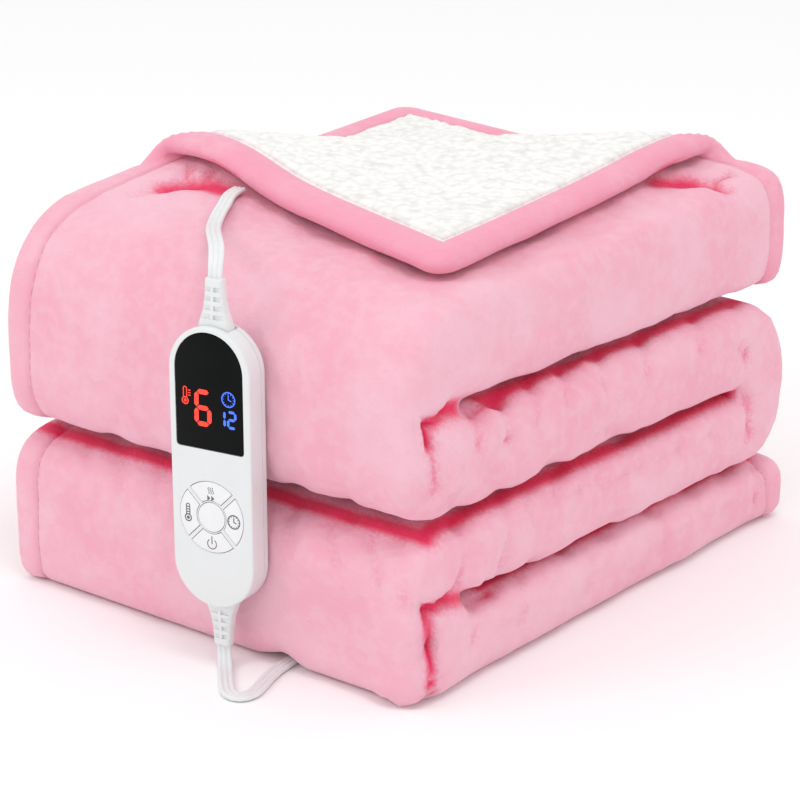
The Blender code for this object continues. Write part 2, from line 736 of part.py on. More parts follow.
# ---------------------------------------------------------------- cords
def make_cords():
    white = finish("cord_white", CORD_WHITE, 0.45)
    ribbon("cord_upper", UPPER_ROUTE, white)
    ribbon("cord_lower", LOWER_ROUTE, white)

    bm = bmesh.new()
    inner, outer = COIL_RADIUS - COIL_WIDTH / 2, COIL_RADIUS + COIL_WIDTH / 2
    corners = ((inner, COIL_BOTTOM), (outer, COIL_BOTTOM), (outer, COIL_TOP), (inner, COIL_TOP))
    ring = [bm.verts.new((x, 0.0, z)) for x, z in corners]
    sides = [bm.edges.new((a, b)) for a, b in zip(ring, ring[1:] + ring[:1])]
    bmesh.ops.spin(
        bm,
        geom=[*ring, *sides],
        cent=(0, 0, 0),
        axis=(0, 0, 1),
        angle=2 * math.pi,
        steps=COIL_SIDES,
        use_merge=True,
    )
    bmesh.ops.translate(bm, vec=(COIL_CENTRE.x, COIL_CENTRE.y, 0), verts=bm.verts)
    place("cord_coil", bm, white)

    lane = COIL_CENTRE.y + COIL_RADIUS
    start = COIL_CENTRE.x - COIL_MEETS
    plug_start = start - TAIL_LENGTH
    top_turn = COIL_RISE + FLOOR_CORD_Z
    tail = [
        (start - (TAIL_LENGTH - GAP) * run, lane, blend(top_turn, PLUG_Z, drop))
        for run, drop in TAIL_DROPS
    ]
    ribbon("cord_tail", tail, white)

    frame = Matrix(((0, 0, -1), (1, 0, 0), (0, 1, 0))).to_4x4()
    frame.translation = (plug_start, lane, PLUG_Z)
    place("plug", moulding(PLUG_SECTIONS), finish("plug_white", SHELL_WHITE, 0.45), frame)
    steel = finish("steel", STEEL, 0.3, 1.0)
    tip = plug_start - PLUG_SECTIONS[-1][0] - GAP
    for name, side in (("plug_blade_front", -1), ("plug_blade_back", 1)):
        bm = bmesh.new()
        bmesh.ops.create_cube(bm, size=1.0)
        bmesh.ops.scale(bm, vec=(BLADE_LENGTH, BLADE_THICK, BLADE_WIDTH), verts=bm.verts)
        middle = (tip - BLADE_LENGTH / 2, lane + side * BLADE_SPACING / 2, PLUG_Z)
        bmesh.ops.translate(bm, vec=middle, verts=bm.verts)
        place(name, bm, steel)


make_blanket()
make_shells()
make_keys()
make_reliefs()
make_cords()
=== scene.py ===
"""An electric heated blanket, folded into a stack, with its wired hand control against the front.

Metres, +Z up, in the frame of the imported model: the origin is on the surface that the blanket lies
on, under the middle of the stack.
"""

import json
import math

import bmesh
import bpy
import numpy as np
from mathutils import Matrix, Vector, noise

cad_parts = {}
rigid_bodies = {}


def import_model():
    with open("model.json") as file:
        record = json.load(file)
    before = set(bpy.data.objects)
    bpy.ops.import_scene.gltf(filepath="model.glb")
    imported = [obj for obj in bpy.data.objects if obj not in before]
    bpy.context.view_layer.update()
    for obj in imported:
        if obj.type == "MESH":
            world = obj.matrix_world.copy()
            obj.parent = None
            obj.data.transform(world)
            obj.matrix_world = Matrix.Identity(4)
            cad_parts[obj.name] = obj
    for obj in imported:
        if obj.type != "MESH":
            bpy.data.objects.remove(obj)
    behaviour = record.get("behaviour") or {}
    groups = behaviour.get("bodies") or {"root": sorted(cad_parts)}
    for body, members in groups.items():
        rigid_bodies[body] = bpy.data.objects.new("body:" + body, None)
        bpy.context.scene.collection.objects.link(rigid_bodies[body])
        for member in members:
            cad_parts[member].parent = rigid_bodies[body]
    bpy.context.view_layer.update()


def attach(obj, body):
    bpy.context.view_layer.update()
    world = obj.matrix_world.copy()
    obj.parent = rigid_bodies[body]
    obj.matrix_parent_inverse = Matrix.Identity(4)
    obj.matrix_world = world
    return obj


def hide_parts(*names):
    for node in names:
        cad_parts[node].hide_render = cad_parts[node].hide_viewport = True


for item in list(bpy.data.objects):
    bpy.data.objects.remove(item, do_unlink=True)
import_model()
BODY = "blanket_and_control"

# ---------------------------------------------------------------- table, light and camera
# The blanket lies on a plain white table under large soft lamps, and is seen from above its near
# corner through a long lens.
TABLE_SIDE = 14.0
TABLE_WHITE = (0.985, 0.985, 0.985, 1.0)
TABLE_ROUGH = 0.9
ROOM_WHITE, ROOM_LIGHT = (1.0, 1.0, 1.0, 1.0), 0.93
LAMPS = (  # name, place, side, watts
    ("lamp_front", Vector((-1.0, -2.0, 1.9)), 0.9, 8.0),
    ("lamp_above", Vector((0.9, -0.5, 2.4)), 0.9, 9.0),
)
LAMPS_AIM = Vector((0.0, 0.0, 0.1))

AZIMUTH = math.radians(38.6)
ELEVATION = math.radians(18.8)
CAMERA_SPOT = Vector((0.9405, -1.1940, 0.6150))
SENSOR = 36.0
LENS = 112.5

bpy.context.scene.view_settings.view_transform = "Standard"
table_mesh = bmesh.new()
bmesh.ops.create_grid(table_mesh, x_segments=1, y_segments=1, size=TABLE_SIDE / 2)
table_data = bpy.data.meshes.new("table_top")
table_mesh.to_mesh(table_data)
table_mesh.free()
table_white = bpy.data.materials.new("table_white")
table_white.use_nodes = True
table_shader = table_white.node_tree.nodes["Principled BSDF"]
table_shader.inputs["Base Color"].default_value = TABLE_WHITE
table_shader.inputs["Roughness"].default_value = TABLE_ROUGH
table_data.materials.append(table_white)
table_top = bpy.data.objects.new("table_top", table_data)
bpy.context.scene.collection.objects.link(table_top)

room = bpy.data.worlds.new("room")
room.use_nodes = True
room.node_tree.nodes["Background"].inputs["Color"].default_value = ROOM_WHITE
room.node_tree.nodes["Background"].inputs["Strength"].default_value = ROOM_LIGHT
bpy.context.scene.world = room
for name, place, side, watts in LAMPS:
    lamp = bpy.data.lights.new(name, "AREA")
    lamp.size = side
    lamp.energy = watts
    lamp_object = bpy.data.objects.new(name, lamp)
    lamp_object.location = place
    lamp_object.rotation_euler = (LAMPS_AIM - place).to_track_quat("-Z", "Y").to_euler()
    bpy.context.scene.collection.objects.link(lamp_object)

lens = bpy.data.cameras.new("camera")
lens.sensor_width = SENSOR
lens.lens = LENS
camera = bpy.data.objects.new("camera", lens)
camera_right = Vector((math.cos(AZIMUTH), math.sin(AZIMUTH), 0.0))
camera_back = Vector((
    math.sin(AZIMUTH) * math.cos(ELEVATION),
    -math.cos(AZIMUTH) * math.cos(ELEVATION),
    math.sin(ELEVATION),
))
camera_up = camera_back.cross(camera_right)
camera.matrix_world = Matrix((camera_right, camera_up, camera_back)).transposed().to_4x4()
camera.location = CAMERA_SPOT
bpy.context.scene.collection.objects.link(camera)
bpy.context.scene.camera = camera

# ---------------------------------------------------------------- blanket
# One cloth of pink flannel backed with white sherpa. It is folded in half twice across its width,
# then back and forth into four layers, and its top corner at the back is turned over. The flannel
# wraps round the edge as a plump hem, which is stitched through on its inner side.
WIDTH, DEPTH = 0.310, 0.370
HALF_SHEET = 0.00575
SHEET_PITCH = 0.0135
LAYER_PITCH = 0.0570
HEM_STEP = 0.0040
OUTER_FOLD = 1.5 * SHEET_PITCH
INNER_FOLD = 0.5 * SHEET_PITCH
HALF_LAYER = OUTER_FOLD + HALF_SHEET
LAYER_FOLD = LAYER_PITCH / 2
LAYER_REACH = LAYER_FOLD + HALF_LAYER
FOLD_X = WIDTH / 2 - HALF_LAYER
FIRST_FOLD_X = -WIDTH / 2 + INNER_FOLD + HALF_SHEET
HEM_X = -WIDTH / 2 + HEM_STEP
FOLD_Y = DEPTH / 2 - LAYER_REACH
HEM_Y = DEPTH / 2 - HEM_STEP / 2
TOP_LAYER_Z = HALF_LAYER + 3 * LAYER_PITCH
# kind, length of a run or radius of a half turn, cells
WIDTH_PATH = (
    ("run", FOLD_X - HEM_X, 60),
    ("turn", -OUTER_FOLD, 22),
    ("run", FOLD_X - FIRST_FOLD_X, 6),
    ("turn", -INNER_FOLD, 5),
    ("run", FOLD_X - FIRST_FOLD_X, 3),
    ("turn", INNER_FOLD, 5),
    ("run", FOLD_X - HEM_X, 10),
)
LENGTH_PATH = (
    ("run", HEM_Y + FOLD_Y, 66),
    ("turn", -LAYER_FOLD, 36),
    ("run", 2 * FOLD_Y, 64),
    ("turn", LAYER_FOLD, 16),
    ("run", 2 * FOLD_Y, 64),
    ("turn", -LAYER_FOLD, 36),
    ("run", HEM_Y + FOLD_Y, 52),
)
HEM_WIDE = 0.0185
HEM_CUTS = (
    0.0, 0.0006, 0.0020, 0.0042, 0.0075, 0.0110, 0.0145, 0.0168, 0.0178, 0.0185, 0.0192, 0.0202,
)
CUTS_APART = 0.002
HEM_ROUND, EDGE_THIN = 0.0058, 0.12  # the edge's own rounding, and the share left at its tip
HEM_PLUMP = 0.0011
CORNER_ROUND = 0.0150
SEAM_DEPTH, SEAM_HALF = 0.0016, 0.0011

TURN_LEFT = (HEM_X, -0.090)
TURN_RIGHT = (FOLD_X - 0.002, HEM_Y)
CORNER_LANDS = (0.130, -0.132)
ROLL_RADIUS = 0.0080
FLAP_GAP = 0.0050
SETTLE_LENGTH = 0.080
END_FOLD_SQUARE = 3.6
LAYER_FOLDS = (  # the way that a fold faces along Y, middle height, upper half, lower half
    (-1, TOP_LAYER_Z - LAYER_FOLD, 2.3, 4.5),
    (1, TOP_LAYER_Z - LAYER_FOLD - LAYER_PITCH, 3.0, 3.0),
    (-1, TOP_LAYER_Z - LAYER_FOLD - 2 * LAYER_PITCH, 3.6, 9.0),
)
SETTLED = (  # before, near, right, left, rear
    (0.0000, 0.0000, 0.0000, 0.0000, 0.0000),
    (0.0545, 0.0500, 0.0420, 0.0530, 0.0500),
    (0.1115, 0.1020, 0.0965, 0.1000, 0.0970),
    (0.1685, 0.1640, 0.1570, 0.1600, 0.1560),
    (0.2230, 0.2250, 0.2340, 0.2340, 0.2640),
)
BULGE_FRONT, BULGE_RIGHT, BULGE_REAR = 0.0195, 0.0070, 0.0100
BULGE_RIGHT_TOP = 0.1800
BULGE_LEFT_FRONT, BULGE_LEFT_REAR = 0.0080, 0.0140
BULGE_STARTS = 0.060
LIFTS = (  # x, y, height, reach
    (-0.095, -0.075, 0.010, 0.050),
    (0.105, 0.115, 0.003, 0.050),
)
LIFT_STARTS = TOP_LAYER_Z - HALF_LAYER
PRESSED = 0.0012
TUNNEL_X = 0.060
TUNNEL_HALF_WIDTH, TUNNEL_HEIGHT, TUNNEL_FADES = 0.022, 0.0060, 0.050

# Creases and ridges in the outer cloth.
CREASES = (  # start, end, half width, how far out (in is negative), how strong the painted shade in it is
    # the groove between the two upper layers runs on to the near corner, and turns down it
    ((0.1453, -0.1068, 0.1590), (0.1560, -0.1600, 0.1665), 0.0060, -0.0040, 0.7),
    ((0.1560, -0.1600, 0.1665), (0.1565, -0.1867, 0.1640), 0.0050, -0.0042, 0.8),
    ((0.1565, -0.1867, 0.1640), (0.1590, -0.1878, 0.1528), 0.0050, -0.0042, 0.8),
    ((0.1590, -0.1878, 0.1528), (0.1600, -0.1862, 0.1270), 0.0045, -0.0026, 0.5),
    ((0.1640, -0.1650, 0.1450), (0.1640, -0.1690, 0.1250), 0.0060, 0.0024, 0.0),
    # the same between the two lower layers, down the near corner to the table
    ((0.1512, -0.1191, 0.0470), (0.1618, -0.1712, 0.0575), 0.0060, -0.0040, 0.7),
    ((0.1618, -0.1712, 0.0575), (0.1606, -0.1913, 0.0580), 0.0050, -0.0044, 0.9),
    ((0.1606, -0.1913, 0.0580), (0.1611, -0.1891, 0.0322), 0.0045, -0.0048, 1.0),
    ((0.1611, -0.1891, 0.0322), (0.1600, -0.1880, 0.0060), 0.0045, -0.0036, 0.8),
    # gathers that hang down from the upper right groove
    ((0.1464, -0.1365, 0.1591), (0.1604, -0.1456, 0.1440), 0.0050, -0.0026, 0.4),
    ((0.1474, -0.1096, 0.1580), (0.1605, -0.1195, 0.1400), 0.0045, -0.0030, 0.5),
    ((0.1474, -0.1250, 0.1580), (0.1605, -0.1320, 0.1480), 0.0050, 0.0020, 0.0),
    ((0.1452, -0.0775, 0.1582), (0.1589, -0.0903, 0.1430), 0.0048, -0.0024, 0.4),
    ((0.1440, -0.0458, 0.1577), (0.1591, -0.0607, 0.1475), 0.0045, -0.0018, 0.3),
    ((0.1440, -0.0230, 0.1577), (0.1591, -0.0330, 0.1400), 0.0060, 0.0016, 0.0),
    ((0.1429, -0.0047, 0.1570), (0.1589, -0.0213, 0.1470), 0.0045, -0.0014, 0.2),
    ((0.1434, 0.0402, 0.1562), (0.1605, 0.0238, 0.1432), 0.0055, -0.0022, 0.3),
    ((0.1409, 0.1012, 0.1553), (0.1604, 0.0827, 0.1426), 0.0055, -0.0018, 0.3),
    ((0.1452, 0.1484, 0.1530), (0.1617, 0.1318, 0.1306), 0.0050, -0.0022, 0.3),
    # the second layer, up from the middle groove
    ((0.1479, -0.1515, 0.0980), (0.1604, -0.1727, 0.1195), 0.0060, -0.0022, 0.2),
    ((0.1485, -0.1098, 0.0976), (0.1613, -0.1352, 0.1216), 0.0060, -0.0016, 0.2),
    ((0.1459, -0.0462, 0.0969), (0.1615, -0.0774, 0.1100), 0.0060, -0.0020, 0.2),
    ((0.1410, 0.0249, 0.0961), (0.1617, -0.0161, 0.1160), 0.0060, -0.0016, 0.2),
    ((0.1430, 0.1450, 0.0961), (0.1617, 0.1400, 0.1250), 0.0060, -0.0032, 0.5),
    # the third layer: gathers under the middle groove, and long ones down to the lower groove
    ((0.1532, -0.1566, 0.0949), (0.1620, -0.1644, 0.0633), 0.0055, -0.0028, 0.4),
    ((0.1556, -0.1384, 0.0928), (0.1611, -0.1471, 0.0635), 0.0060, 0.0018, 0.0),
    ((0.1565, -0.1147, 0.0918), (0.1610, -0.1221, 0.0614), 0.0055, -0.0024, 0.3),
    ((0.1578, -0.0949, 0.0904), (0.1560, -0.0900, 0.0523), 0.0050, -0.0022, 0.3),
    ((0.1579, -0.0661, 0.0899), (0.1450, -0.0431, 0.0444), 0.0055, -0.0026, 0.3),
    ((0.1591, -0.0231, 0.0882), (0.1505, -0.0019, 0.0426), 0.0060, -0.0016, 0.2),
    ((0.1602, 0.0187, 0.0866), (0.1460, 0.0484, 0.0426), 0.0070, -0.0018, 0.2),
    ((0.1611, 0.0626, 0.0835), (0.1467, 0.0975, 0.0416), 0.0060, -0.0014, 0.2),
    ((0.1612, 0.1037, 0.0814), (0.1434, 0.1442, 0.0410), 0.0060, -0.0020, 0.2),
    ((0.1569, 0.1466, 0.0919), (0.1616, 0.1475, 0.0651), 0.0055, -0.0030, 0.5),
    # a line of quilting along the third layer
    ((0.1583, -0.1162, 0.0903), (0.1587, -0.0784, 0.0894), 0.0022, -0.0010, 0.2),
    ((0.1587, -0.0784, 0.0894), (0.1599, -0.0452, 0.0879), 0.0022, -0.0010, 0.2),
    ((0.1599, -0.0452, 0.0879), (0.1613, 0.0062, 0.0827), 0.0022, -0.0010, 0.2),
    ((0.1613, 0.0062, 0.0827), (0.1611, 0.0661, 0.0838), 0.0022, -0.0010, 0.2),
    ((0.1611, 0.0661, 0.0838), (0.1611, 0.1026, 0.0830), 0.0022, -0.0010, 0.2),
    # the bottom layer
    ((0.1499, -0.1394, 0.0456), (0.1617, -0.1491, 0.0274), 0.0050, -0.0020, 0.3),
    ((0.1526, -0.0944, 0.0426), (0.1619, -0.1028, 0.0238), 0.0050, -0.0018, 0.3),
    ((0.1563, -0.0275, 0.0384), (0.1618, -0.0347, 0.0200), 0.0060, -0.0016, 0.2),
    ((0.1539, 0.0536, 0.0389), (0.1619, 0.0471, 0.0199), 0.0060, -0.0016, 0.2),
    ((0.1508, 0.1299, 0.0399), (0.1619, 0.1182, 0.0217), 0.0050, -0.0018, 0.2),
    ((0.1544, 0.1683, 0.0365), (0.1619, 0.1611, 0.0192), 0.0050, -0.0024, 0.4),
    ((0.1500, -0.1900, 0.0080), (0.1400, -0.1980, 0.0080), 0.0140, 0.0034, 0.0),
    # the front face, at the middle groove
    ((-0.0966, -0.1707, 0.0965), (-0.0683, -0.1996, 0.1236), 0.0070, -0.0020, 0.2),
    ((0.0548, -0.1770, 0.0954), (0.0733, -0.1996, 0.1247), 0.0070, -0.0016, 0.2),
    ((0.0957, -0.1811, 0.0943), (0.1062, -0.1979, 0.1200), 0.0070, -0.0018, 0.2),
    ((-0.1070, -0.1864, 0.0921), (-0.0955, -0.1965, 0.0800), 0.0045, -0.0024, 0.4),
    ((-0.0804, -0.1873, 0.0919), (-0.0659, -0.1992, 0.0794), 0.0050, -0.0024, 0.3),
    ((-0.0450, -0.1873, 0.0919), (-0.0380, -0.1992, 0.0780), 0.0050, -0.0020, 0.3),
    ((-0.0150, -0.1873, 0.0919), (-0.0100, -0.1992, 0.0740), 0.0055, -0.0020, 0.2),
    ((0.0571, -0.1885, 0.0920), (0.0662, -0.1975, 0.0800), 0.0050, -0.0024, 0.3),
    ((0.0878, -0.1894, 0.0919), (0.1005, -0.2003, 0.0773), 0.0050, -0.0024, 0.3),
    ((0.1189, -0.1917, 0.0913), (0.1329, -0.2019, 0.0742), 0.0050, -0.0022, 0.3),
    ((0.1378, -0.1885, 0.0920), (0.1510, -0.2014, 0.0668), 0.0055, -0.0024, 0.3),
    # the hollows and puckers at the two ends of the turned corner, with shadow painted under the hem
    # of the turned flap
    ((0.1100, 0.1080, 0.2378), (0.1180, 0.1230, 0.2380), 0.0105, -0.0020, 1.0),
    ((0.1180, 0.1230, 0.2380), (0.1300, 0.1330, 0.2368), 0.0115, -0.0020, 1.0),
    ((0.1300, 0.1330, 0.2368), (0.1390, 0.1330, 0.2348), 0.0070, -0.0022, 0.8),
    ((0.1269, 0.1353, 0.2373), (0.1297, 0.1608, 0.2368), 0.0045, -0.0022, 0.5),
    ((0.1340, 0.1300, 0.2360), (0.1447, 0.1390, 0.2320), 0.0050, -0.0024, 0.5),
    ((-0.1100, -0.1110, 0.2432), (-0.1010, -0.0980, 0.2455), 0.0090, -0.0020, 1.0),
    ((-0.1010, -0.0980, 0.2455), (-0.0900, -0.0935, 0.2466), 0.0120, -0.0018, 1.0),
    ((-0.0900, -0.0935, 0.2466), (-0.0730, -0.0960, 0.2448), 0.0110, -0.0012, 1.0),
    ((-0.1040, -0.0990, 0.2455), (-0.1170, -0.0800, 0.2475), 0.0045, -0.0024, 0.6),
    ((-0.0960, -0.0950, 0.2465), (-0.1010, -0.0780, 0.2490), 0.0045, -0.0022, 0.6),
    ((-0.1090, -0.1120, 0.2430), (-0.1170, -0.1300, 0.2395), 0.0070, -0.0016, 0.3),
)
# The lines along which the layers meet, where shade is painted dark into the flannel's colour.
GROOVES = (  # start, end, half width
    ((-0.160, -0.180, 0.0960), (0.150, -0.180, 0.0970), 0.0080),
    ((0.146, -0.180, 0.0985), (0.146, 0.180, 0.0965), 0.0080),
    ((0.140, -0.120, 0.1600), (0.140, 0.180, 0.1560), 0.0080),
    ((0.140, -0.120, 0.0470), (0.140, 0.180, 0.0400), 0.0080),
)
CREASES_DEEPER, CREASES_PAINTED_SHADE = 1.60, 1.25  # times the two last columns of CREASES, the depth and the painted shade
UNEVEN_SIZE, UNEVEN_RISE = 26.0, 0.0022
RIPPLE_SIZE, RIPPLE_RISE = 75.0, 0.0009
RELIEF_AT_EDGE = 0.25  # the share of all this that is left at the cloth's edge
RELIEF_FROM_Z = 0.004  # lower down, the cloth stays flat on the table


def step_length(kind, size):
    return size if kind == "run" else abs(size) * math.pi


def path_length(path):
    return sum(step_length(kind, size) for kind, size, _ in path)


def along(path, start, distance, offset):
    """The point at a distance along a fold path that sets out along +a, set off to its left."""
    place_a, place_b = start
    heading = 0.0
    for index, (kind, size, _) in enumerate(path):
        part = distance if index == len(path) - 1 else min(distance, step_length(kind, size))
        if kind == "run":
            place_a += math.cos(heading) * part
            place_b += math.sin(heading) * part
        else:
            centre_a = place_a - math.sin(heading) * size
            centre_b = place_b + math.cos(heading) * size
            heading += part / size
            place_a = centre_a + math.sin(heading) * size
            place_b = centre_b - math.cos(heading) * size
        distance -= part
        if distance <= 0:
            break
    return place_a - math.sin(heading) * offset, place_b + math.cos(heading) * offset


LINE = (Vector(TURN_RIGHT) - Vector(TURN_LEFT)).normalized()
WAY = (Vector(CORNER_LANDS) - Vector((HEM_X, HEM_Y))).normalized()
SQUARE_X, SQUARE_Y = LINE.y, -LINE.x
FACING = WAY.x * SQUARE_X + WAY.y * SQUARE_Y


def turned(x, y):
    """How far a point of the top sheet lies past the corner's fold line."""
    return -((x - TURN_LEFT[0]) * SQUARE_X + (y - TURN_LEFT[1]) * SQUARE_Y) / FACING


ROLL_LENGTH = math.pi * ROLL_RADIUS
CORNER_REACH = turned(HEM_X, HEM_Y)
CORNER_TRAVELS = math.dist(CORNER_LANDS, (HEM_X, HEM_Y))
FLAP_STRETCH = (CORNER_TRAVELS - CORNER_REACH) / (CORNER_REACH - ROLL_LENGTH)


def turn_corner(x, y, level, offset):
    """The place of a point of the top sheet once its corner has been rolled over and laid down."""
    past = turned(x, y)
    if past <= 0:
        return x, y, level + offset
    if past < ROLL_LENGTH:
        angle = past / ROLL_RADIUS
        swing = ROLL_RADIUS - offset
        run = past - swing * math.sin(angle)
        return x + WAY.x * run, y + WAY.y * run, level + ROLL_RADIUS - swing * math.cos(angle)
    beyond = past - ROLL_LENGTH
    share = min(beyond / SETTLE_LENGTH, 1.0)
    drop = (2 * ROLL_RADIUS - 2 * HALF_SHEET - FLAP_GAP) * share * share * (3 - 2 * share)
    run = past + beyond * FLAP_STRETCH
    return x + WAY.x * run, y + WAY.y * run, level + 2 * ROLL_RADIUS - offset - drop


def blend(low, high, share):
    return low + (high - low) * share


def squared(across, rise, square):
    """A point of a half round fold, moved out to where it lies once the fold is squarer."""
    size = math.hypot(across, rise)
    if size == 0:
        return across, rise
    out = (abs(across / size) ** square + abs(rise / size) ** square) ** (-1 / square)
    return across * out, rise * out


def settle(x, y, z):
    """The stack as it has sunk and spread under its own weight."""
    across = x / WIDTH + 0.5
    back = y / DEPTH + 0.5
    levels = []
    for before, near, right, left, rear in SETTLED:
        levels.append((before, blend(blend(left, near, across), blend(rear, right, across), back)))
    height = levels[-1][1] + (z - levels[-1][0])
    for (low, low_now), (high, high_now) in zip(levels, levels[1:]):
        if z <= high:
            height = blend(low_now, high_now, (z - low) / (high - low))
            break
    aside = abs(x - TUNNEL_X)
    if aside < TUNNEL_HALF_WIDTH and z < TUNNEL_FADES:
        arch = 0.5 + 0.5 * math.cos(math.pi * aside / TUNNEL_HALF_WIDTH)
        height += TUNNEL_HEIGHT * arch * (1 - z / TUNNEL_FADES)
    if height < PRESSED:
        height = 0.0
    high = min(max((z - LIFT_STARTS) / (2 * HALF_LAYER), 0.0), 1.0)
    for lift_x, lift_y, lift, reach in LIFTS:
        height += high * lift * math.exp(-((x - lift_x) ** 2 + (y - lift_y) ** 2) / reach**2)
    out_x = max(0.0, (abs(x) - BULGE_STARTS) / (WIDTH / 2 - BULGE_STARTS))
    out_y = max(0.0, (abs(y) - BULGE_STARTS) / (DEPTH / 2 - BULGE_STARTS))
    bulge_right = BULGE_RIGHT * min(max((BULGE_RIGHT_TOP - z) / LAYER_FOLD, 0.0), 1.0)
    bulge_left = blend(BULGE_LEFT_FRONT, BULGE_LEFT_REAR, back)
    x += out_x * (bulge_right if x > 0 else -bulge_left)
    y += out_y * (BULGE_REAR if y > 0 else -BULGE_FRONT)
    return x, y, height


def fold(u, v, offset):
    """The folded place of a point of the flat cloth: across, along, and out on the flannel side."""
    x, level = along(WIDTH_PATH, (HEM_X, OUTER_FOLD), u, offset)
    forward = v
    if u < FOLD_X - HEM_X and v < HEM_Y + FOLD_Y:
        x, y, level = turn_corner(x, HEM_Y - v, OUTER_FOLD, offset)
        forward = HEM_Y - y
    elif x > FOLD_X:
        past, level = squared(x - FOLD_X, level, END_FOLD_SQUARE)
        x = FOLD_X + past
    y, z = along(LENGTH_PATH, (-HEM_Y, TOP_LAYER_Z), forward, level)
    y = -y
    for way, middle, upper, lower in LAYER_FOLDS:
        past, rise = way * y - FOLD_Y, z - middle
        if past > 0 and abs(rise) < LAYER_REACH:
            past, rise = squared(past, rise, upper if rise > 0 else lower)
            y, z = way * (FOLD_Y + past), middle + rise
            break
    return settle(x, y, z)


CLOTH_WIDTH = path_length(WIDTH_PATH)
CLOTH_LENGTH = path_length(LENGTH_PATH)
TOP_RUN = FOLD_X - HEM_X
OUTSIDE = CLOTH_WIDTH - 2 * (FOLD_X - FIRST_FOLD_X) - 2 * math.pi * INNER_FOLD


def cuts(path):
    """Distances at which the flat cloth is divided, with close ones along its two hems."""
    marks = []
    done = 0.0
    for kind, size, cells in path:
        length = step_length(kind, size)
        marks += [done + length * step / cells for step in range(cells)]
        done += length
    clear = HEM_CUTS[-1] + CUTS_APART
    inside = [mark for mark in marks if clear < mark < done - clear]
    return [*HEM_CUTS, *inside, *(done - cut for cut in reversed(HEM_CUTS))]


def edge_distance(u, v):
    return min(u, CLOTH_WIDTH - u, v, CLOTH_LENGTH - v)


def round_corner(u, v):
    """A point of the flat cloth, drawn in where the cloth's square corners are sewn round."""
    in_u, in_v = CORNER_ROUND - min(u, CLOTH_WIDTH - u), CORNER_ROUND - min(v, CLOTH_LENGTH - v)
    if in_u <= 0 or in_v <= 0:
        return u, v
    drawn = 1 - max(in_u, in_v) / math.hypot(in_u, in_v)
    toward_u = 1 if u < CLOTH_WIDTH / 2 else -1
    toward_v = 1 if v < CLOTH_LENGTH / 2 else -1
    return u + toward_u * in_u * drawn, v + toward_v * in_v * drawn


def thickness(u, v):
    """Half the cloth's thickness: rounded at its edge, plump in the hem, drawn in at the seam."""
    edge = edge_distance(u, v)
    half = HALF_SHEET
    if edge < HEM_ROUND:
        half *= blend(EDGE_THIN, 1.0, math.sqrt(max(0.0, 1 - (1 - edge / HEM_ROUND) ** 2)))
    if edge < HEM_WIDE:
        half += HEM_PLUMP * math.sin(math.pi * edge / HEM_WIDE)
    half -= SEAM_DEPTH * math.exp(-(((edge - HEM_WIDE) / SEAM_HALF) ** 2))
    return half


def share_near(points, start, end, width):
    """How near points are to a line, from 1 on it to 0 far off."""
    start = np.array(start)
    way = np.array(end) - start
    part = np.clip((points - start) @ way / (way @ way), 0.0, 1.0)
    off = np.linalg.norm(points - start - part[:, None] * way, axis=1)
    return np.exp(-((off / width) ** 2))


class Signal:
    """One value or colour in a material's nodes, which the usual signs work on."""

    def __init__(self, tree, socket=None):
        self.tree = tree
        self.socket = socket

    def node(self, kind, settings=None, inputs=None, output=0):
        made = self.tree.nodes.new(kind)
        for name, value in (settings or {}).items():
            setattr(made, name, value)
        for slot, value in (inputs or {}).items():
            if isinstance(value, Signal):
                self.tree.links.new(value.socket, made.inputs[slot])
            else:
                made.inputs[slot].default_value = value
        return Signal(self.tree, made.outputs[output])

    def output(self, index):
        """Another output of the same node."""
        return Signal(self.tree, self.socket.node.outputs[index])

    def maths(self, operation, *others):
        inputs = dict(enumerate((self, *others)))
        return self.node("ShaderNodeMath", {"operation": operation}, inputs)

    def __add__(self, other):
        return self.maths("ADD", other)

    def __sub__(self, other):
        return self.maths("SUBTRACT", other)

    def __rsub__(self, other):
        return self.maths("MULTIPLY", -1.0).maths("ADD", other)

    def __mul__(self, other):
        return self.maths("MULTIPLY", other)

    __radd__ = __add__
    __rmul__ = __mul__

    def ease(self, low, high):
        """0 below the low value, 1 above the high one, and smooth between."""
        settings = {"interpolation_type": "SMOOTHSTEP"}
        return self.node("ShaderNodeMapRange", settings, {0: self, 1: low, 2: high})

    def colours(self, low, high):
        return self.node("ShaderNodeMix", {"data_type": "RGBA"}, {0: self, 6: low, 7: high}, 2)

    def scaled(self, factors):
        return self.node("ShaderNodeVectorMath", {"operation": "MULTIPLY"}, {0: self, 1: factors})

    def noise(self, scale, detail=2.0):
        inputs = {"Vector": self, "Scale": scale, "Detail": detail}
        return self.node("ShaderNodeTexNoise", None, inputs)

    def feed(self, shader, socket):
        self.tree.links.new(self.socket, shader.inputs[socket])


def surface(name, **constants):
    """A material, its shader, and the place on the object that its patterns follow."""
    material = bpy.data.materials.new(name)
    material.use_nodes = True
    shader = material.node_tree.nodes["Principled BSDF"]
    for socket, value in constants.items():
        shader.inputs[socket.replace("_", " ")].default_value = value
    return material, shader, Signal(material.node_tree).node("ShaderNodeTexCoord", output="Object")


def bump(height, distance, strength):
    inputs = {"Strength": strength, "Distance": distance, "Height": height}
    return height.node("ShaderNodeBump", None, inputs)


def rgb(red, green, blue):
    return (red, green, blue, 1.0)


def shape(name, bm):
    """An object from a bmesh."""
    bmesh.ops.recalc_face_normals(bm, faces=bm.faces)
    mesh = bpy.data.meshes.new(name)
    bm.to_mesh(mesh)
    bm.free()
    item = bpy.data.objects.new(name, mesh)
    bpy.context.scene.collection.objects.link(item)
    return item


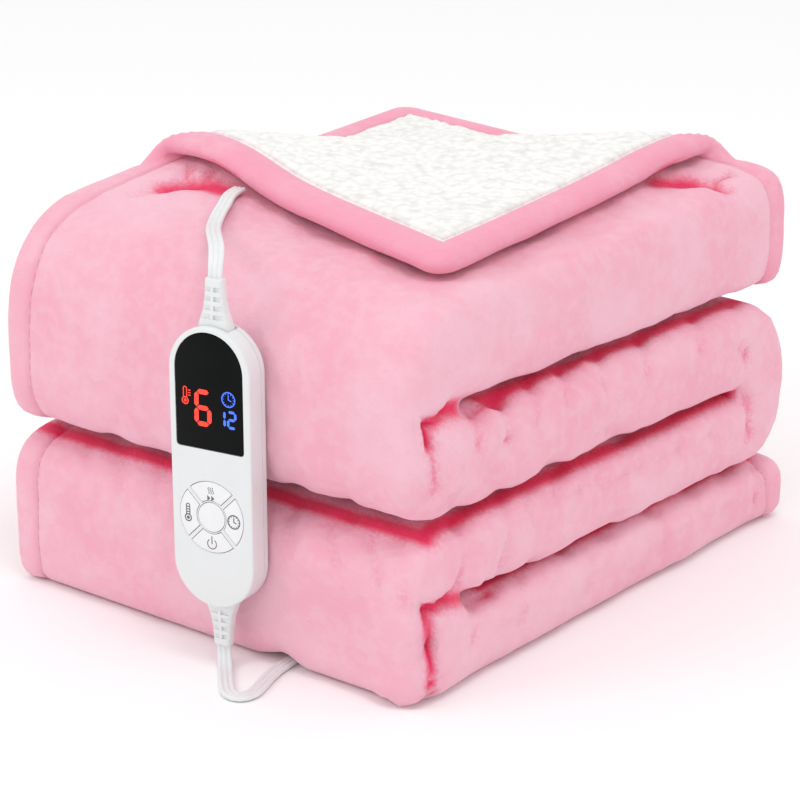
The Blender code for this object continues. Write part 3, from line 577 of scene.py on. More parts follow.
def piece(name, bm, *materials, sharp=None):
    """A finished piece that stays with the blanket. Edges over sharp degrees aren't smoothed."""
    item = shape(name, bm)
    for material in materials:
        item.data.materials.append(material)
    item.data.shade_smooth()
    if sharp is not None:
        item.data.set_sharp_from_angle(angle=math.radians(sharp))
    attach(item, BODY)
    return item


across_cuts, along_cuts = cuts(WIDTH_PATH), cuts(LENGTH_PATH)
columns, rows = len(across_cuts) - 1, len(along_cuts) - 1
cloth = bmesh.new()
bmesh.ops.create_grid(cloth, x_segments=columns, y_segments=rows, size=0.5)
# Each point keeps a share of painted shade, from its creases and grooves, which darkens the
# flannel's colour.
painted_crease_shade = cloth.verts.layers.float.new("painted_crease_shade")
flat_map = cloth.loops.layers.uv.new("flat")
lifted = bmesh.ops.extrude_face_region(cloth, geom=cloth.faces[:])["geom"]
flannel_side = {part for part in lifted if isinstance(part, bmesh.types.BMVert)}
flats = {}
for vert in cloth.verts:
    u = across_cuts[round((vert.co.x + 0.5) * columns)]
    v = along_cuts[round((vert.co.y + 0.5) * rows)]
    flats[vert] = (u, v, 1 if vert in flannel_side else -1)
for face in cloth.faces:
    corners = [flats[vert] for vert in face.verts]
    middle_u = sum(u for u, _, _ in corners) / len(corners)
    middle_v = sum(v for _, v, _ in corners) / len(corners)
    inside = all(side < 0 for _, _, side in corners)
    face.material_index = int(inside and edge_distance(middle_u, middle_v) > HEM_WIDE)
    for loop in face.loops:
        loop[flat_map].uv = flats[loop.vert][:2]
outer = []
for vert, (u, v, side) in flats.items():
    vert.co = fold(*round_corner(u, v), side * thickness(u, v))
    if side > 0 and u < OUTSIDE:
        outer.append(vert)
places = np.array([vert.co[:] for vert in outer])
inner = np.array([fold(*flats[vert][:2], 0.0) for vert in outer])
ways = places - inner
ways /= np.linalg.norm(ways, axis=1)[:, None] + 1e-9
# How far each point of the outer cloth is moved out or in by the creases, and how much shade is
# painted on it in the creases and grooves.
rises = np.zeros(len(outer))
painted_shade_shares = np.zeros(len(outer))
for start, end, width, rise, painted_shade in CREASES:
    near = share_near(places, start, end, width)
    rises += CREASES_DEEPER * rise * near
    painted_shade_shares = np.maximum(painted_shade_shares, min(1.0, CREASES_PAINTED_SHADE * painted_shade) * near)
for start, end, width in GROOVES:
    painted_shade_shares = np.maximum(painted_shade_shares, share_near(places, start, end, width))
for index, vert in enumerate(outer):
    spot = vert.co
    rise = rises[index] + UNEVEN_RISE * noise.noise(spot * UNEVEN_SIZE)
    rise += RIPPLE_RISE * noise.noise(spot * RIPPLE_SIZE)
    edge = edge_distance(*flats[vert][:2])
    rise *= min(1.0, RELIEF_AT_EDGE + edge / HEM_WIDE)
    # the painted shade is kept on the point
    vert[painted_crease_shade] = painted_shade_shares[index]
    if spot.z > RELIEF_FROM_Z:
        vert.co = spot + Vector(ways[index]) * rise
        vert.co.z = max(vert.co.z, 0.0)

FLANNEL_PINK = rgb(0.845, 0.43, 0.53)
FLANNEL_PALE = rgb(0.885, 0.60, 0.69)
FLANNEL_DEEP = rgb(0.86, 0.19, 0.34)
# the crimson painted as shade in the creases and grooves
FLANNEL_PAINTED_SHADE = rgb(0.80, 0.020, 0.105)
STITCH_PITCH = 0.0034
TURNED_HEM_FADES = (0.24, 0.29)  # along the cloth, between these, from the deeper pink of that hem
flannel, shader, spot = surface(
    "pink_flannel",
    Roughness=0.88,
    Sheen_Weight=0.22,
    Sheen_Roughness=0.45,
    Sheen_Tint=rgb(1.0, 0.72, 0.82),
)
flat = spot.node("ShaderNodeUVMap", {"uv_map": "flat"})
flat_u = flat.node("ShaderNodeSeparateXYZ", None, {0: flat})
flat_v = flat_u.output(1)
from_side = flat_u.maths("MINIMUM", CLOTH_WIDTH - flat_u)
from_end = flat_v.maths("MINIMUM", CLOTH_LENGTH - flat_v)
from_edge = from_side.maths("MINIMUM", from_end)
on_line = 1.0 - (from_edge - (HEM_WIDE + 0.0002)).maths("ABSOLUTE").ease(0.0003, 0.0007)
dashes = ((flat_u + flat_v) * (2 * math.pi / STITCH_PITCH)).maths("SINE").ease(-0.35, 0.05)
stitch = on_line * dashes
in_hem = 1.0 - from_edge.ease(HEM_WIDE - 0.002, HEM_WIDE + 0.001)
turned_hem = in_hem * (1.0 - flat_v.ease(*TURNED_HEM_FADES))
nap_wide = spot.noise(15.0).ease(0.35, 0.70)
nap_fine = spot.noise(120.0, 4.0).ease(0.36, 0.66)
fuzz = spot.noise(1100.0, 3.0)
# Painted sheen: the nap is painted paler where it is seen at a slant.
painted_sheen = spot.node("ShaderNodeLayerWeight", None, {"Blend": 0.35}, "Facing")
# The painted shade of the creases and grooves, read back from the points.
painted_shade = spot.node("ShaderNodeAttribute", {"attribute_name": "painted_crease_shade"}, None, "Fac")
# Fine ruffles where the creases' shade is painted: they darken the colour there as more painted
# shade, and raise the bump.
ruffles_and_painted_shade = spot.noise(420.0, 3.0).ease(0.40, 0.62) * painted_shade.ease(0.02, 0.45)
pink = (nap_wide * 0.34 + nap_fine * 0.08).colours(FLANNEL_PINK, FLANNEL_PALE)
pink = ((1.0 - nap_fine) * (1.0 - nap_wide) * 0.16).colours(pink, FLANNEL_DEEP)
# the painted sheen
pink = (painted_sheen.ease(0.30, 1.0) * 0.22).colours(pink, FLANNEL_PALE)
# deeper pink in the hems, and painted shade in the ruffles
pink = (in_hem * nap_fine * 0.20 + turned_hem * 0.26 + ruffles_and_painted_shade * 0.45).colours(pink, FLANNEL_DEEP)
# Painted shade: the creases and grooves turn deep crimson.
pink = painted_shade.ease(0.25, 0.95).colours(pink, FLANNEL_PAINTED_SHADE)
pink = (stitch * 0.55).colours(pink, FLANNEL_DEEP)
pink.feed(shader, "Base Color")
cloth_height = fuzz * 0.5 + nap_fine * 0.8 + stitch * 0.9 + ruffles_and_painted_shade * 0.5
bump(cloth_height, 0.0007, 0.55).feed(shader, "Normal")

# The sherpa is painted darker down between its curls, as shade, and white on their tops.
SHERPA_WHITE = rgb(0.90, 0.895, 0.88)
SHERPA_PAINTED_SHADE = rgb(0.74, 0.72, 0.70)
CURL_STRAYS = 0.007
sherpa, shader, spot = surface(
    "white_sherpa", Roughness=0.95, Sheen_Weight=0.25, Sheen_Roughness=0.6
)
waves = spot.noise(160.0).output(1)
swirl_inputs = {0: waves, 1: (CURL_STRAYS,) * 3, 2: spot}
swirl = waves.node("ShaderNodeVectorMath", {"operation": "MULTIPLY_ADD"}, swirl_inputs)
curl_inputs = {"Vector": swirl, "Scale": 200.0, "Smoothness": 0.8}
curls = swirl.node("ShaderNodeTexVoronoi", {"feature": "SMOOTH_F1"}, curl_inputs)
strands = swirl.noise(700.0, 3.0)
curl_height = (1.0 - curls) * 0.8 + strands * 0.3
# painted shade between the curls
curl_height.ease(0.20, 0.80).colours(SHERPA_PAINTED_SHADE, SHERPA_WHITE).feed(shader, "Base Color")
bump(curl_height, 0.0011, 0.6).feed(shader, "Normal")

blanket = piece("blanket_cloth", cloth, flannel, sherpa)
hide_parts("blanket")

# ---------------------------------------------------------------- sherpa pile
# The curly pile on the sherpa side where it shows: on the turned corner, and on the next sheet that
# the turned corner uncovers behind it.
PILE_HEIGHT, PILE_ROOT = 0.0026, 0.0015
PILE_RIM, RIM_SHARE = 0.004, 0.25  # how far in the pile is lower, and its share of height there
TUFT_SIZE = 150.0
PILE_INSET = HEM_WIDE + 0.0012
PILE_ENDS = HEM_Y - TURN_LEFT[1] + 0.010
PILE_SEED = 1
noise.seed_set(PILE_SEED)  # else noise_vector would follow the clock


def tuft(u, v):
    """The height of the pile at a point of the cloth, from 0 between its curls to 1 on top."""
    spot = Vector((u, v, 0.37))
    spot += noise.noise_vector(spot * 130.0) * 0.0024 + noise.noise_vector(spot * 420.0) * 0.0006
    near = noise.voronoi(spot * TUFT_SIZE)[0]
    curl = 1.0 - min(1.0, near[0] * 1.25)
    broad = 0.5 + 0.5 * noise.noise(spot * 55.0)
    return 0.30 + 0.50 * curl + 0.20 * broad


def pile_patch(name, u_low, u_high, step, mirrored, keep_past):
    """A patch of pile on a stretch of the flat cloth.

    It is kept where it lies more than keep_past past the line of the turned corner's fold, on the
    top sheet or on the sheet that mirrors it.
    """
    bm = bmesh.new()
    columns, rows = round((u_high - u_low) / step), round((PILE_ENDS - PILE_INSET) / step)
    bmesh.ops.create_grid(bm, x_segments=columns, y_segments=rows, size=0.5)
    for vert in bm.verts:
        vert.co.x = blend(u_low, u_high, vert.co.x + 0.5)
        vert.co.y = blend(PILE_INSET, PILE_ENDS, vert.co.y + 0.5)
    start = Vector(TURN_LEFT) - WAY * keep_past
    if mirrored:
        point = (CLOTH_WIDTH + HEM_X - start.x, HEM_Y - start.y, 0.0)
        normal = (-SQUARE_X, -SQUARE_Y, 0.0)
    else:
        point = (start.x - HEM_X, HEM_Y - start.y, 0.0)
        normal = (SQUARE_X, -SQUARE_Y, 0.0)
    every = [*bm.verts, *bm.edges, *bm.faces]
    bmesh.ops.bisect_plane(
        bm, geom=every, dist=1e-6, plane_co=point, plane_no=normal, clear_outer=True
    )
    top = bmesh.ops.extrude_face_region(bm, geom=bm.faces[:])["geom"]
    tips = {part for part in top if isinstance(part, bmesh.types.BMVert)}
    for vert in bm.verts:
        u, v = vert.co.x, vert.co.y
        out = thickness(u, v) - PILE_ROOT
        if vert in tips:
            rim = min(1.0, RIM_SHARE + min(u - u_low, u_high - u, v - PILE_INSET) / PILE_RIM)
            out = thickness(u, v) + PILE_HEIGHT * tuft(u, v) * rim
        vert.co = fold(u, v, -out)
    return piece(name, bm, sherpa)


corner_pile = pile_patch(
    "sherpa_pile_corner", PILE_INSET, TOP_RUN, step=0.0016, mirrored=False, keep_past=0.004
)
far_side, far_edge = CLOTH_WIDTH - TOP_RUN, CLOTH_WIDTH - PILE_INSET
next_pile = pile_patch(
    "sherpa_pile_next", far_side, far_edge, step=0.0020, mirrored=True, keep_past=-0.010
)

# ---------------------------------------------------------------- handset
# A slim moulded control of two white shells with soft edges. A black window and a round pad of four
# keys round a fixed disc are let into its face.
HANDSET_WIDTH, HANDSET_HEIGHT = 0.054, 0.168
BACK_SHELL, FRONT_SHELL, PARTING = 0.0055, 0.0122, 0.0003
BACK_EDGE, FRONT_EDGE = 0.0024, 0.0015
SHELL_FACE = BACK_SHELL + PARTING + FRONT_SHELL
HANDSET_YAW = math.radians(9.0)
HANDSET_BACK = Vector((0.0294, -0.2097, 0.1231))
WINDOW_WIDTH, WINDOW_CORNER = 0.0450, 0.0020
WINDOW_TOP, WINDOW_BOTTOM = HANDSET_HEIGHT / 2 - 0.0032, 0.0119
WINDOW_THICK, WINDOW_SINK = 0.0014, 0.0002
KEYS_Y, KEYS_RADIUS, KEY_INNER, DISC_RADIUS = -0.0285, 0.0213, 0.0103, 0.0088
KEY_SPLIT, KEY_THICK, KEY_PROUD, KEY_ROOM, KEY_GAP = 0.0030, 0.0018, 0.0004, 0.0012, 0.0004
KEY_POCKET = KEY_THICK + KEY_ROOM - KEY_PROUD
POCKET_PAST = 0.0020
PAD_MIDDLE, PAD_EDGE = (0.0, KEYS_Y), 0.0003
RELIEF_FOOT, SEAT_ROOM = (0.0212, 0.0110), 0.0006  # width and thickness where it sits, and the slit
RELIEF_MIDDLE, RELIEF_SINK, RELIEF_LENGTH = 0.0085, 0.0032, 0.0297
SEAT = (RELIEF_FOOT[0] + SEAT_ROOM, 2 * (RELIEF_SINK + PARTING), RELIEF_FOOT[1] + SEAT_ROOM)
JOINT_INSET, JOINT_ROOM = 0.00035, 0.00003
SHARP = 30.0  # degrees, over which an edge isn't smoothed
KEYS = (("key_clock", 0), ("key_heat", 90), ("key_temperature", 180), ("key_power", 270))

across_way = Vector((math.cos(HANDSET_YAW), math.sin(HANDSET_YAW), 0.0))
up_way = Vector((0.0, 0.0, 1.0))
out_way = across_way.cross(up_way)
on_handset = Matrix((across_way, up_way, out_way)).transposed().to_4x4()
on_handset.translation = HANDSET_BACK


def arc(centre, radius, start, end, steps):
    for step in range(steps + 1):
        angle = math.radians(start + (end - start) * step / steps)
        yield centre[0] + radius * math.cos(angle), centre[1] + radius * math.sin(angle)


def circle(radius, sides, centre=(0.0, 0.0)):
    return list(arc(centre, radius, 0, 360 - 360 / sides, sides - 1))


def stadium(width, height, steps=40):
    reach = height / 2 - width / 2
    return [
        *arc((0, reach), width / 2, 0, 180, steps),
        *arc((0, -reach), width / 2, 180, 360, steps),
    ]


def arched(width, bottom, top, corner, steps=40):
    half = width / 2
    return [
        *arc((0, top - half), half, 0, 180, steps),
        *arc((corner - half, bottom + corner), corner, 180, 270, 6),
        *arc((half - corner, bottom + corner), corner, 270, 360, 6),
    ]


def key_outline(middle, grow=0.0, steps=18):
    """A quarter of the key ring, drawn back from its neighbours by the same split all along."""
    inner, outer, half_split = KEY_INNER - grow, KEYS_RADIUS + grow, KEY_SPLIT / 2 - grow
    back_out = math.degrees(math.asin(half_split / outer))
    back_in = math.degrees(math.asin(half_split / inner))
    start, end = middle - 45, middle + 45
    return [
        *arc(PAD_MIDDLE, outer, start + back_out, end - back_out, steps),
        *arc(PAD_MIDDLE, inner, end - back_in, start + back_in, steps // 2),
    ]


def pad_outlines(grow):
    """The disc and the keys round it, all grown by the same."""
    disc = circle(DISC_RADIUS + grow, 64, PAD_MIDDLE)
    return [disc, *(key_outline(middle, grow) for _, middle in KEYS)]


def slab(bm, outline, low, high):
    """Add a flat closed shape to a bmesh."""
    ring = [bm.verts.new((x, y, low)) for x, y in outline]
    face = bm.faces.new(ring)
    lifted = bmesh.ops.extrude_face_region(bm, geom=[face])["geom"]
    verts = [part for part in lifted if isinstance(part, bmesh.types.BMVert)]
    bmesh.ops.translate(bm, vec=(0, 0, high - low), verts=verts)


def soften(bm, edges, radius, segments):
    """Round edges of a bmesh."""
    bmesh.ops.bevel(
        bm, geom=edges, offset=radius, segments=segments, profile=0.5, affect="EDGES", material=-1
    )


def plate(outline, low, high, edge=0.0, segments=1):
    """A flat shape in the handset's own frame, with its edge at the second level rounded."""
    bm = bmesh.new()
    slab(bm, outline, low, high)
    if edge:
        rounded = [e for e in bm.edges if all(abs(v.co.z - high) < 1e-7 for v in e.verts)]
        soften(bm, rounded, edge, segments)
    return bm


def on_face(name, bm, *materials, sharp=SHARP):
    """A piece of the handset, moved from the handset's own frame to its place."""
    bmesh.ops.transform(bm, matrix=on_handset, verts=bm.verts)
    return piece(name, bm, *materials, sharp=sharp)


def tool(name, bm):
    """A shape to cut with, moved in the same way."""
    bmesh.ops.transform(bm, matrix=on_handset, verts=bm.verts)
    return shape(name, bm)


def carve(item, *tools):
    """Cut the tools' shapes out of a piece, and leave plain mesh."""
    for each in tools:
        cut = item.modifiers.new("cut", "BOOLEAN")
        cut.object = each
        cut.operation = "DIFFERENCE"
        cut.solver = "EXACT"
    ready = item.evaluated_get(bpy.context.evaluated_depsgraph_get())
    mesh = bpy.data.meshes.new_from_object(ready)
    item.modifiers.clear()
    item.data = mesh
    mesh.shade_smooth()
    mesh.set_sharp_from_angle(angle=math.radians(SHARP))


def moulded(name, grain, low, high, gloss=None, dimples=None, **constants):
    """A plain material that drifts between two shades.

    gloss is the scale, spread and least of its roughness, and dimples the scale, detail, depth and
    strength of its fine relief.
    """
    material, shader, spot = surface(name, **constants)
    spot.noise(grain).colours(rgb(*low), rgb(*high)).feed(shader, "Base Color")
    if gloss:
        scale, spread, least = gloss
        (spot.noise(scale) * spread + least).feed(shader, "Roughness")
    if dimples:
        scale, detail, depth, strength = dimples
        bump(spot.noise(scale, detail), depth, strength).feed(shader, "Normal")
    return material


SHELL_WHITE = rgb(0.765, 0.785, 0.79)
SHELL_SHADE = rgb(0.73, 0.75, 0.755)
shell_plastic, shader, spot = surface(
    "white_plastic", Roughness=0.32, Coat_Weight=0.15, Coat_Roughness=0.2, IOR=1.46
)
drift = spot.noise(45.0).ease(0.3, 0.8) * 0.6
drift.colours(SHELL_WHITE, SHELL_SHADE).feed(shader, "Base Color")
(spot.noise(300.0) * 0.10 + 0.27).feed(shader, "Roughness")
bump(spot.noise(2600.0), 0.00002, 0.25).feed(shader, "Normal")

outline = stadium(HANDSET_WIDTH, HANDSET_HEIGHT)
back_plate = plate(outline, BACK_SHELL, 0.0, BACK_EDGE, 5)
shell_back = on_face("control_back_shell", back_plate, shell_plastic)
front_plate = plate(outline, BACK_SHELL + PARTING, SHELL_FACE, FRONT_EDGE, 5)
shell_front = on_face("control_front_shell", front_plate, shell_plastic)
seats = []
for side in (1, -1):
    bm = bmesh.new()
    bmesh.ops.create_cube(bm, size=1.0)
    bmesh.ops.scale(bm, vec=SEAT, verts=bm.verts)
    bmesh.ops.translate(bm, vec=(0, side * HANDSET_HEIGHT / 2, RELIEF_MIDDLE), verts=bm.verts)
    seats.append(tool("relief_seat", bm))
pocket_top = SHELL_FACE + POCKET_PAST
window_room = arched(
    WINDOW_WIDTH + 2 * PARTING,
    WINDOW_BOTTOM - PARTING,
    WINDOW_TOP + PARTING,
    WINDOW_CORNER + PARTING,
)
window_floor = SHELL_FACE - WINDOW_SINK - WINDOW_THICK - PARTING
pockets = [tool("window_pocket", plate(window_room, window_floor, pocket_top))]
pad_floor = SHELL_FACE - KEY_POCKET
for room in pad_outlines(KEY_GAP):
    pockets.append(tool("key_pocket", plate(room, pad_floor, pocket_top)))
carve(shell_back, *seats)
carve(shell_front, *seats, *pockets)
for item in (*seats, *pockets):
    bpy.data.objects.remove(item, do_unlink=True)
for item, node in ((shell_back, "handset_back"), (shell_front, "handset_front")):
    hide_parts(node)

# A dark filler shows in the parting line between the two shells.
joint_dark = moulded(
    "grey_joint", 400.0, (0.42, 0.42, 0.44), (0.50, 0.50, 0.52), Roughness=0.6
)
outline = stadium(HANDSET_WIDTH - 2 * JOINT_INSET, HANDSET_HEIGHT - 2 * JOINT_INSET)
joint_plate = plate(outline, BACK_SHELL + JOINT_ROOM, BACK_SHELL + PARTING - JOINT_ROOM)
joint_ring = on_face("control_joint", joint_plate, joint_dark)

# ---------------------------------------------------------------- window and display
# A glossy black window, behind which a red figure with a small thermometer and a blue clock over a
# blue two-figure number light up.
WINDOW_EDGE = 0.00025
LIT_LIFT, LIT_DEPTH = 0.00006, 0.00005
SEGMENTS = {"6": "acdefg", "1": "bc", "2": "abged"}  # the lit ones of each figure
# left, bottom, width, height and half stroke of the figures
SIX, SIX_SLANT = (-0.0101, 0.0255, 0.0115, 0.0218, 0.00142), 0.02
ONE = (0.0072, 0.0268, 0.0038, 0.0108, 0.00080)
TWO = (0.0118, 0.0268, 0.0064, 0.0108, 0.00080)
glass = moulded(
    "black_window",
    30.0,
    (0.004, 0.0045, 0.0045),
    (0.009, 0.0095, 0.010),
    gloss=(220.0, 0.05, 0.05),
    Roughness=0.10,
    Specular_IOR_Level=0.08,
    IOR=1.4,
)
window_face = SHELL_FACE - WINDOW_SINK
outline = arched(WINDOW_WIDTH, WINDOW_BOTTOM, WINDOW_TOP, WINDOW_CORNER)
pane = plate(outline, window_face - WINDOW_THICK, window_face, WINDOW_EDGE, 2)
window = on_face("display_glass", pane, glass)
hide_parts("display_window")


def lit(name, colour, dim, strength):
    """A figure's glow, a little uneven as a lit segment is."""
    material, shader, spot = surface(name, Roughness=0.4, Emission_Strength=strength)
    shade = spot.noise(900.0).ease(0.2, 0.8).colours(dim, colour)
    shade.feed(shader, "Base Color")
    shade.feed(shader, "Emission Color")
    return material


def bar(start, end, half, point=True):
    """A bar between two points, with pointed ends as a display's segment has."""
    ax, ay = start
    bx, by = end
    length = math.hypot(bx - ax, by - ay)
    cx, cy = (bx - ax) / length, (by - ay) / length
    nx, ny = -cy * half, cx * half
    inset = half if point else 0.0
    corners = [
        (ax, ay),
        (ax + cx * inset - nx, ay + cy * inset - ny),
        (bx - cx * inset - nx, by - cy * inset - ny),
        (bx, by),
        (bx - cx * inset + nx, by - cy * inset + ny),
        (ax + cx * inset + nx, ay + cy * inset + ny),
    ]
    return corners if point else [corners[1], corners[2], corners[4], corners[5]]


def stroke(bm, start, end, half, low, high):
    """A bar with square ends, added to a bmesh."""
    slab(bm, bar(start, end, half, False), low, high)


def figure(bm, sign, left, bottom, width, height, half, low, high, slant=0.0):
    """A seven-segment figure."""
    gap = half * 0.28
    x0, x1 = left + half, left + width - half
    y0, ym, y1 = bottom + half, bottom + height / 2, bottom + height - half
    ends = {
        "a": ((x0, y1), (x1, y1)),
        "b": ((x1, y1), (x1, ym)),
        "c": ((x1, ym), (x1, y0)),
        "d": ((x0, y0), (x1, y0)),
        "e": ((x0, ym), (x0, y0)),
        "f": ((x0, y1), (x0, ym)),
        "g": ((x0, ym), (x1, ym)),
    }
    for letter in SEGMENTS[sign]:
        (ax, ay), (bx, by) = ends[letter]
        length = math.hypot(bx - ax, by - ay)
        cx, cy = (bx - ax) / length * gap, (by - ay) / length * gap
        segment = bar((ax + cx, ay + cy), (bx - cx, by - cy), half)
        slab(bm, [(x + slant * (y - bottom), y) for x, y in segment], low, high)


def ring_shape(bm, centre, radius, half, low, high, start=0.0, end=360.0, steps=28):
    """A ring or part of one, flat and closed."""
    if end - start < 360.0:
        outside = arc(centre, radius + half, start, end, steps)
        inside = arc(centre, radius - half, end, start, steps)
        slab(bm, [*outside, *inside], low, high)
        return
    rings = []
    for z in (low, high):
        for size in (radius + half, radius - half):
            points = list(arc(centre, size, start, end, steps))[:-1]
            rings.append([bm.verts.new((x, y, z)) for x, y in points])
    low_out, low_in, high_out, high_in = rings
    for i in range(steps):
        j = (i + 1) % steps
        bm.faces.new((low_out[i], low_in[i], low_in[j], low_out[j]))
        bm.faces.new((high_out[i], high_out[j], high_in[j], high_in[i]))
        bm.faces.new((low_out[i], low_out[j], high_out[j], high_out[i]))
        bm.faces.new((low_in[i], high_in[i], high_in[j], low_in[j]))


def thermometer(bm, x, y, size, low, high, marks=True):
    """A small thermometer, its bulb below, with marks beside its stem or else inside it."""
    bulb = (x, y - size * 0.62)
    ring_shape(bm, bulb, size * 0.40, size * 0.07, low, high)
    slab(bm, circle(size * 0.20, 16, bulb), low, high)
    for side in (-1, 1):
        across = x + side * size * 0.22
        stroke(bm, (across, y - size * 0.30), (across, y + size * 0.80), size * 0.06, low, high)
    ring_shape(bm, (x, y + size * 0.80), size * 0.22, size * 0.06, low, high, 0, 180, 8)
    mark_from, mark_to = (0.42, 0.74) if marks else (-0.16, 0.16)
    for step in range(3):
        mark = y + size * (0.06 + 0.30 * step)
        stroke(bm, (x + size * mark_from, mark), (x + size * mark_to, mark), size * 0.06, low, high)


def clock(bm, x, y, radius, half, low, high):
    """A clock face with its hands at three."""
    ring_shape(bm, (x, y), radius, half, low, high)
    stroke(bm, (x, y - half), (x, y + radius * 0.62), half * 0.9, low, high)
    stroke(bm, (x, y), (x + radius * 0.45, y - radius * 0.18), half * 0.9, low, high)
    for hour in range(12):
        angle = math.radians(30 * hour)
        c, s = math.cos(angle) * radius, math.sin(angle) * radius
        inner, outer = (x + c * 0.72, y + s * 0.72), (x + c * 0.90, y + s * 0.90)
        stroke(bm, inner, outer, half * 0.6, low, high)


lit_levels = (window_face + LIT_LIFT, window_face + LIT_LIFT + LIT_DEPTH)
red_glow = lit("red_glow", rgb(0.95, 0.045, 0.02), rgb(0.70, 0.02, 0.01), 0.9)
bm = bmesh.new()
figure(bm, "6", *SIX, *lit_levels, SIX_SLANT)
thermometer(bm, -0.0160, 0.0422, 0.0050, *lit_levels)
red_signs = on_face("display_red_figures", bm, red_glow)
blue_glow = lit("blue_glow", rgb(0.055, 0.16, 0.86), rgb(0.03, 0.10, 0.66), 0.85)
bm = bmesh.new()
clock(bm, 0.0130, 0.0440, 0.0043, 0.00034, *lit_levels)
figure(bm, "1", *ONE, *lit_levels)
figure(bm, "2", *TWO, *lit_levels)
blue_signs = on_face("display_blue_figures", bm, blue_glow)

# ---------------------------------------------------------------- keys and their signs
# A fixed disc with four keys round it, each of which slides in. A dark rubber mat under them shows
# in the slits, and the signs are printed in grey.
MAT_LOW, MAT_HIGH, DISC_LOW = 0.0001, 0.0004, 0.0005  # over the pocket's floor
PRINT_LIFT, PRINT_DEPTH = 0.00002, 0.00004
key_plastic = moulded(
    "key_plastic",
    140.0,
    (0.80, 0.805, 0.82),
    (0.855, 0.86, 0.872),
    gloss=(500.0, 0.1, 0.32),
    dimples=(2600.0, 2.0, 0.00002, 0.2),
    Roughness=0.36,
    IOR=1.46,
)
mat_rubber = moulded(
    "dark_rubber_mat", 600.0, (0.045, 0.045, 0.05), (0.085, 0.085, 0.09), Roughness=0.7
)
sign_grey = moulded(
    "printed_grey", 900.0, (0.10, 0.10, 0.11), (0.16, 0.16, 0.17), Roughness=0.55
)

bm = bmesh.new()
for room in pad_outlines(KEY_GAP / 2):
    slab(bm, room, pad_floor + MAT_LOW, pad_floor + MAT_HIGH)
key_mat = on_face("key_mat", bm, mat_rubber)
key_top = SHELL_FACE + KEY_PROUD
outline = circle(DISC_RADIUS, 64, PAD_MIDDLE)
disc_plate = plate(outline, pad_floor + DISC_LOW, key_top, PAD_EDGE, 3)
middle_disc = on_face("key_middle", disc_plate, key_plastic)
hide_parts("key_disc")


def heat_sign(bm, low, high):
    """Three rising waves over two triangles that point right."""
    for column in (-1, 0, 1):
        points = []
        for step in range(9):
            rise = step / 8
            swing = 0.0004 * math.sin(rise * 2 * math.pi)
            points.append((0.0014 * column + swing, -0.0143 + 0.0040 * rise))
        for a, b in zip(points, points[1:]):
            stroke(bm, a, b, 0.00022, low, high)
    for left in (-0.0024, 0.0003):
        slab(bm, [(left, -0.0186), (left + 0.0021, -0.0169), (left, -0.0152)], low, high)


def power_sign(bm, low, high):
    """A broken ring with a stroke through the break."""
    ring_shape(bm, (0.0, -0.0447), 0.0030, 0.00028, low, high, 125, 415, 30)
    stroke(bm, (0.0, -0.0447), (0.0, -0.0400), 0.00032, low, high)


def clock_sign(bm, low, high):
    clock(bm, 0.0152, KEYS_Y, 0.0040, 0.00036, low, high)


def temperature_sign(bm, low, high):
    thermometer(bm, -0.0158, KEYS_Y + 0.0004, 0.0052, low, high, marks=False)


SIGNS = {
    "key_clock": ("clock_button", clock_sign),
    "key_heat": ("heat_button", heat_sign),
    "key_temperature": ("temperature_button", temperature_sign),
    "key_power": ("power_button", power_sign),
}
for node, middle in KEYS:
    body, sign = SIGNS[node]
    cap = plate(key_outline(middle), key_top - KEY_THICK, key_top, PAD_EDGE, 3)
    key = on_face(node + "_cap", cap, key_plastic)
    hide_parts(node)
    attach(key, body)
    bm = bmesh.new()
    sign(bm, key_top + PRINT_LIFT, key_top + PRINT_LIFT + PRINT_DEPTH)
    print_on_key = on_face(node + "_sign", bm, sign_grey)
    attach(print_on_key, body)

# ---------------------------------------------------------------- strain reliefs
# Each end of the handset has a rubber relief, moulded like a horn, with slots across both faces on
# each side of a spine.
RELIEF_SECTIONS = (  # share of the length, width, thickness
    (0.00, *RELIEF_FOOT),
    (0.09, 0.0206, 0.0108),
    (0.20, 0.0184, 0.0102),
    (0.32, 0.0158, 0.0094),
    (0.46, 0.0138, 0.0086),
    (0.62, 0.0123, 0.0080),
    (0.80, 0.0116, 0.0076),
    (0.95, 0.0113, 0.0074),
    (0.985, 0.0110, 0.0071),
    (1.00, 0.0104, 0.0064),
)
RELIEF_SLOTS = ((0.27, 0.0036), (0.44, 0.0031), (0.62, 0.0027), (0.80, 0.0025))  # share, floor
SLOT_TALL, SPINE_HALF, SLOT_PAST = 0.0028, 0.0009, 0.0125
relief_rubber = moulded(
    "white_rubber",
    150.0,
    (0.73, 0.745, 0.75),
    (0.80, 0.815, 0.82),
    gloss=(420.0, 0.12, 0.44),
    dimples=(1500.0, 3.0, 0.00004, 0.3),
    Roughness=0.5,
    IOR=1.45,
)


def oblong(width, thick, power=0.55, steps=40):
    """A rectangle with soft corners, as points round its middle."""
    points = []
    for step in range(steps):
        angle = 2 * math.pi * (step + 0.5) / steps
        c, s = math.cos(angle), math.sin(angle)
        points.append((
            math.copysign(abs(c) ** power, c) * width / 2,
            math.copysign(abs(s) ** power, s) * thick / 2,
        ))
    return points


def lofted(bm, rings):
    """Join rings of points into one closed skin."""
    rows = [[bm.verts.new(point) for point in ring] for ring in rings]
    for row, following in zip(rows, rows[1:]):
        for index in range(len(row)):
            after = (index + 1) % len(row)
            bm.faces.new((row[index], row[after], following[after], following[index]))
    bm.faces.new(rows[0][::-1])
    bm.faces.new(rows[-1])


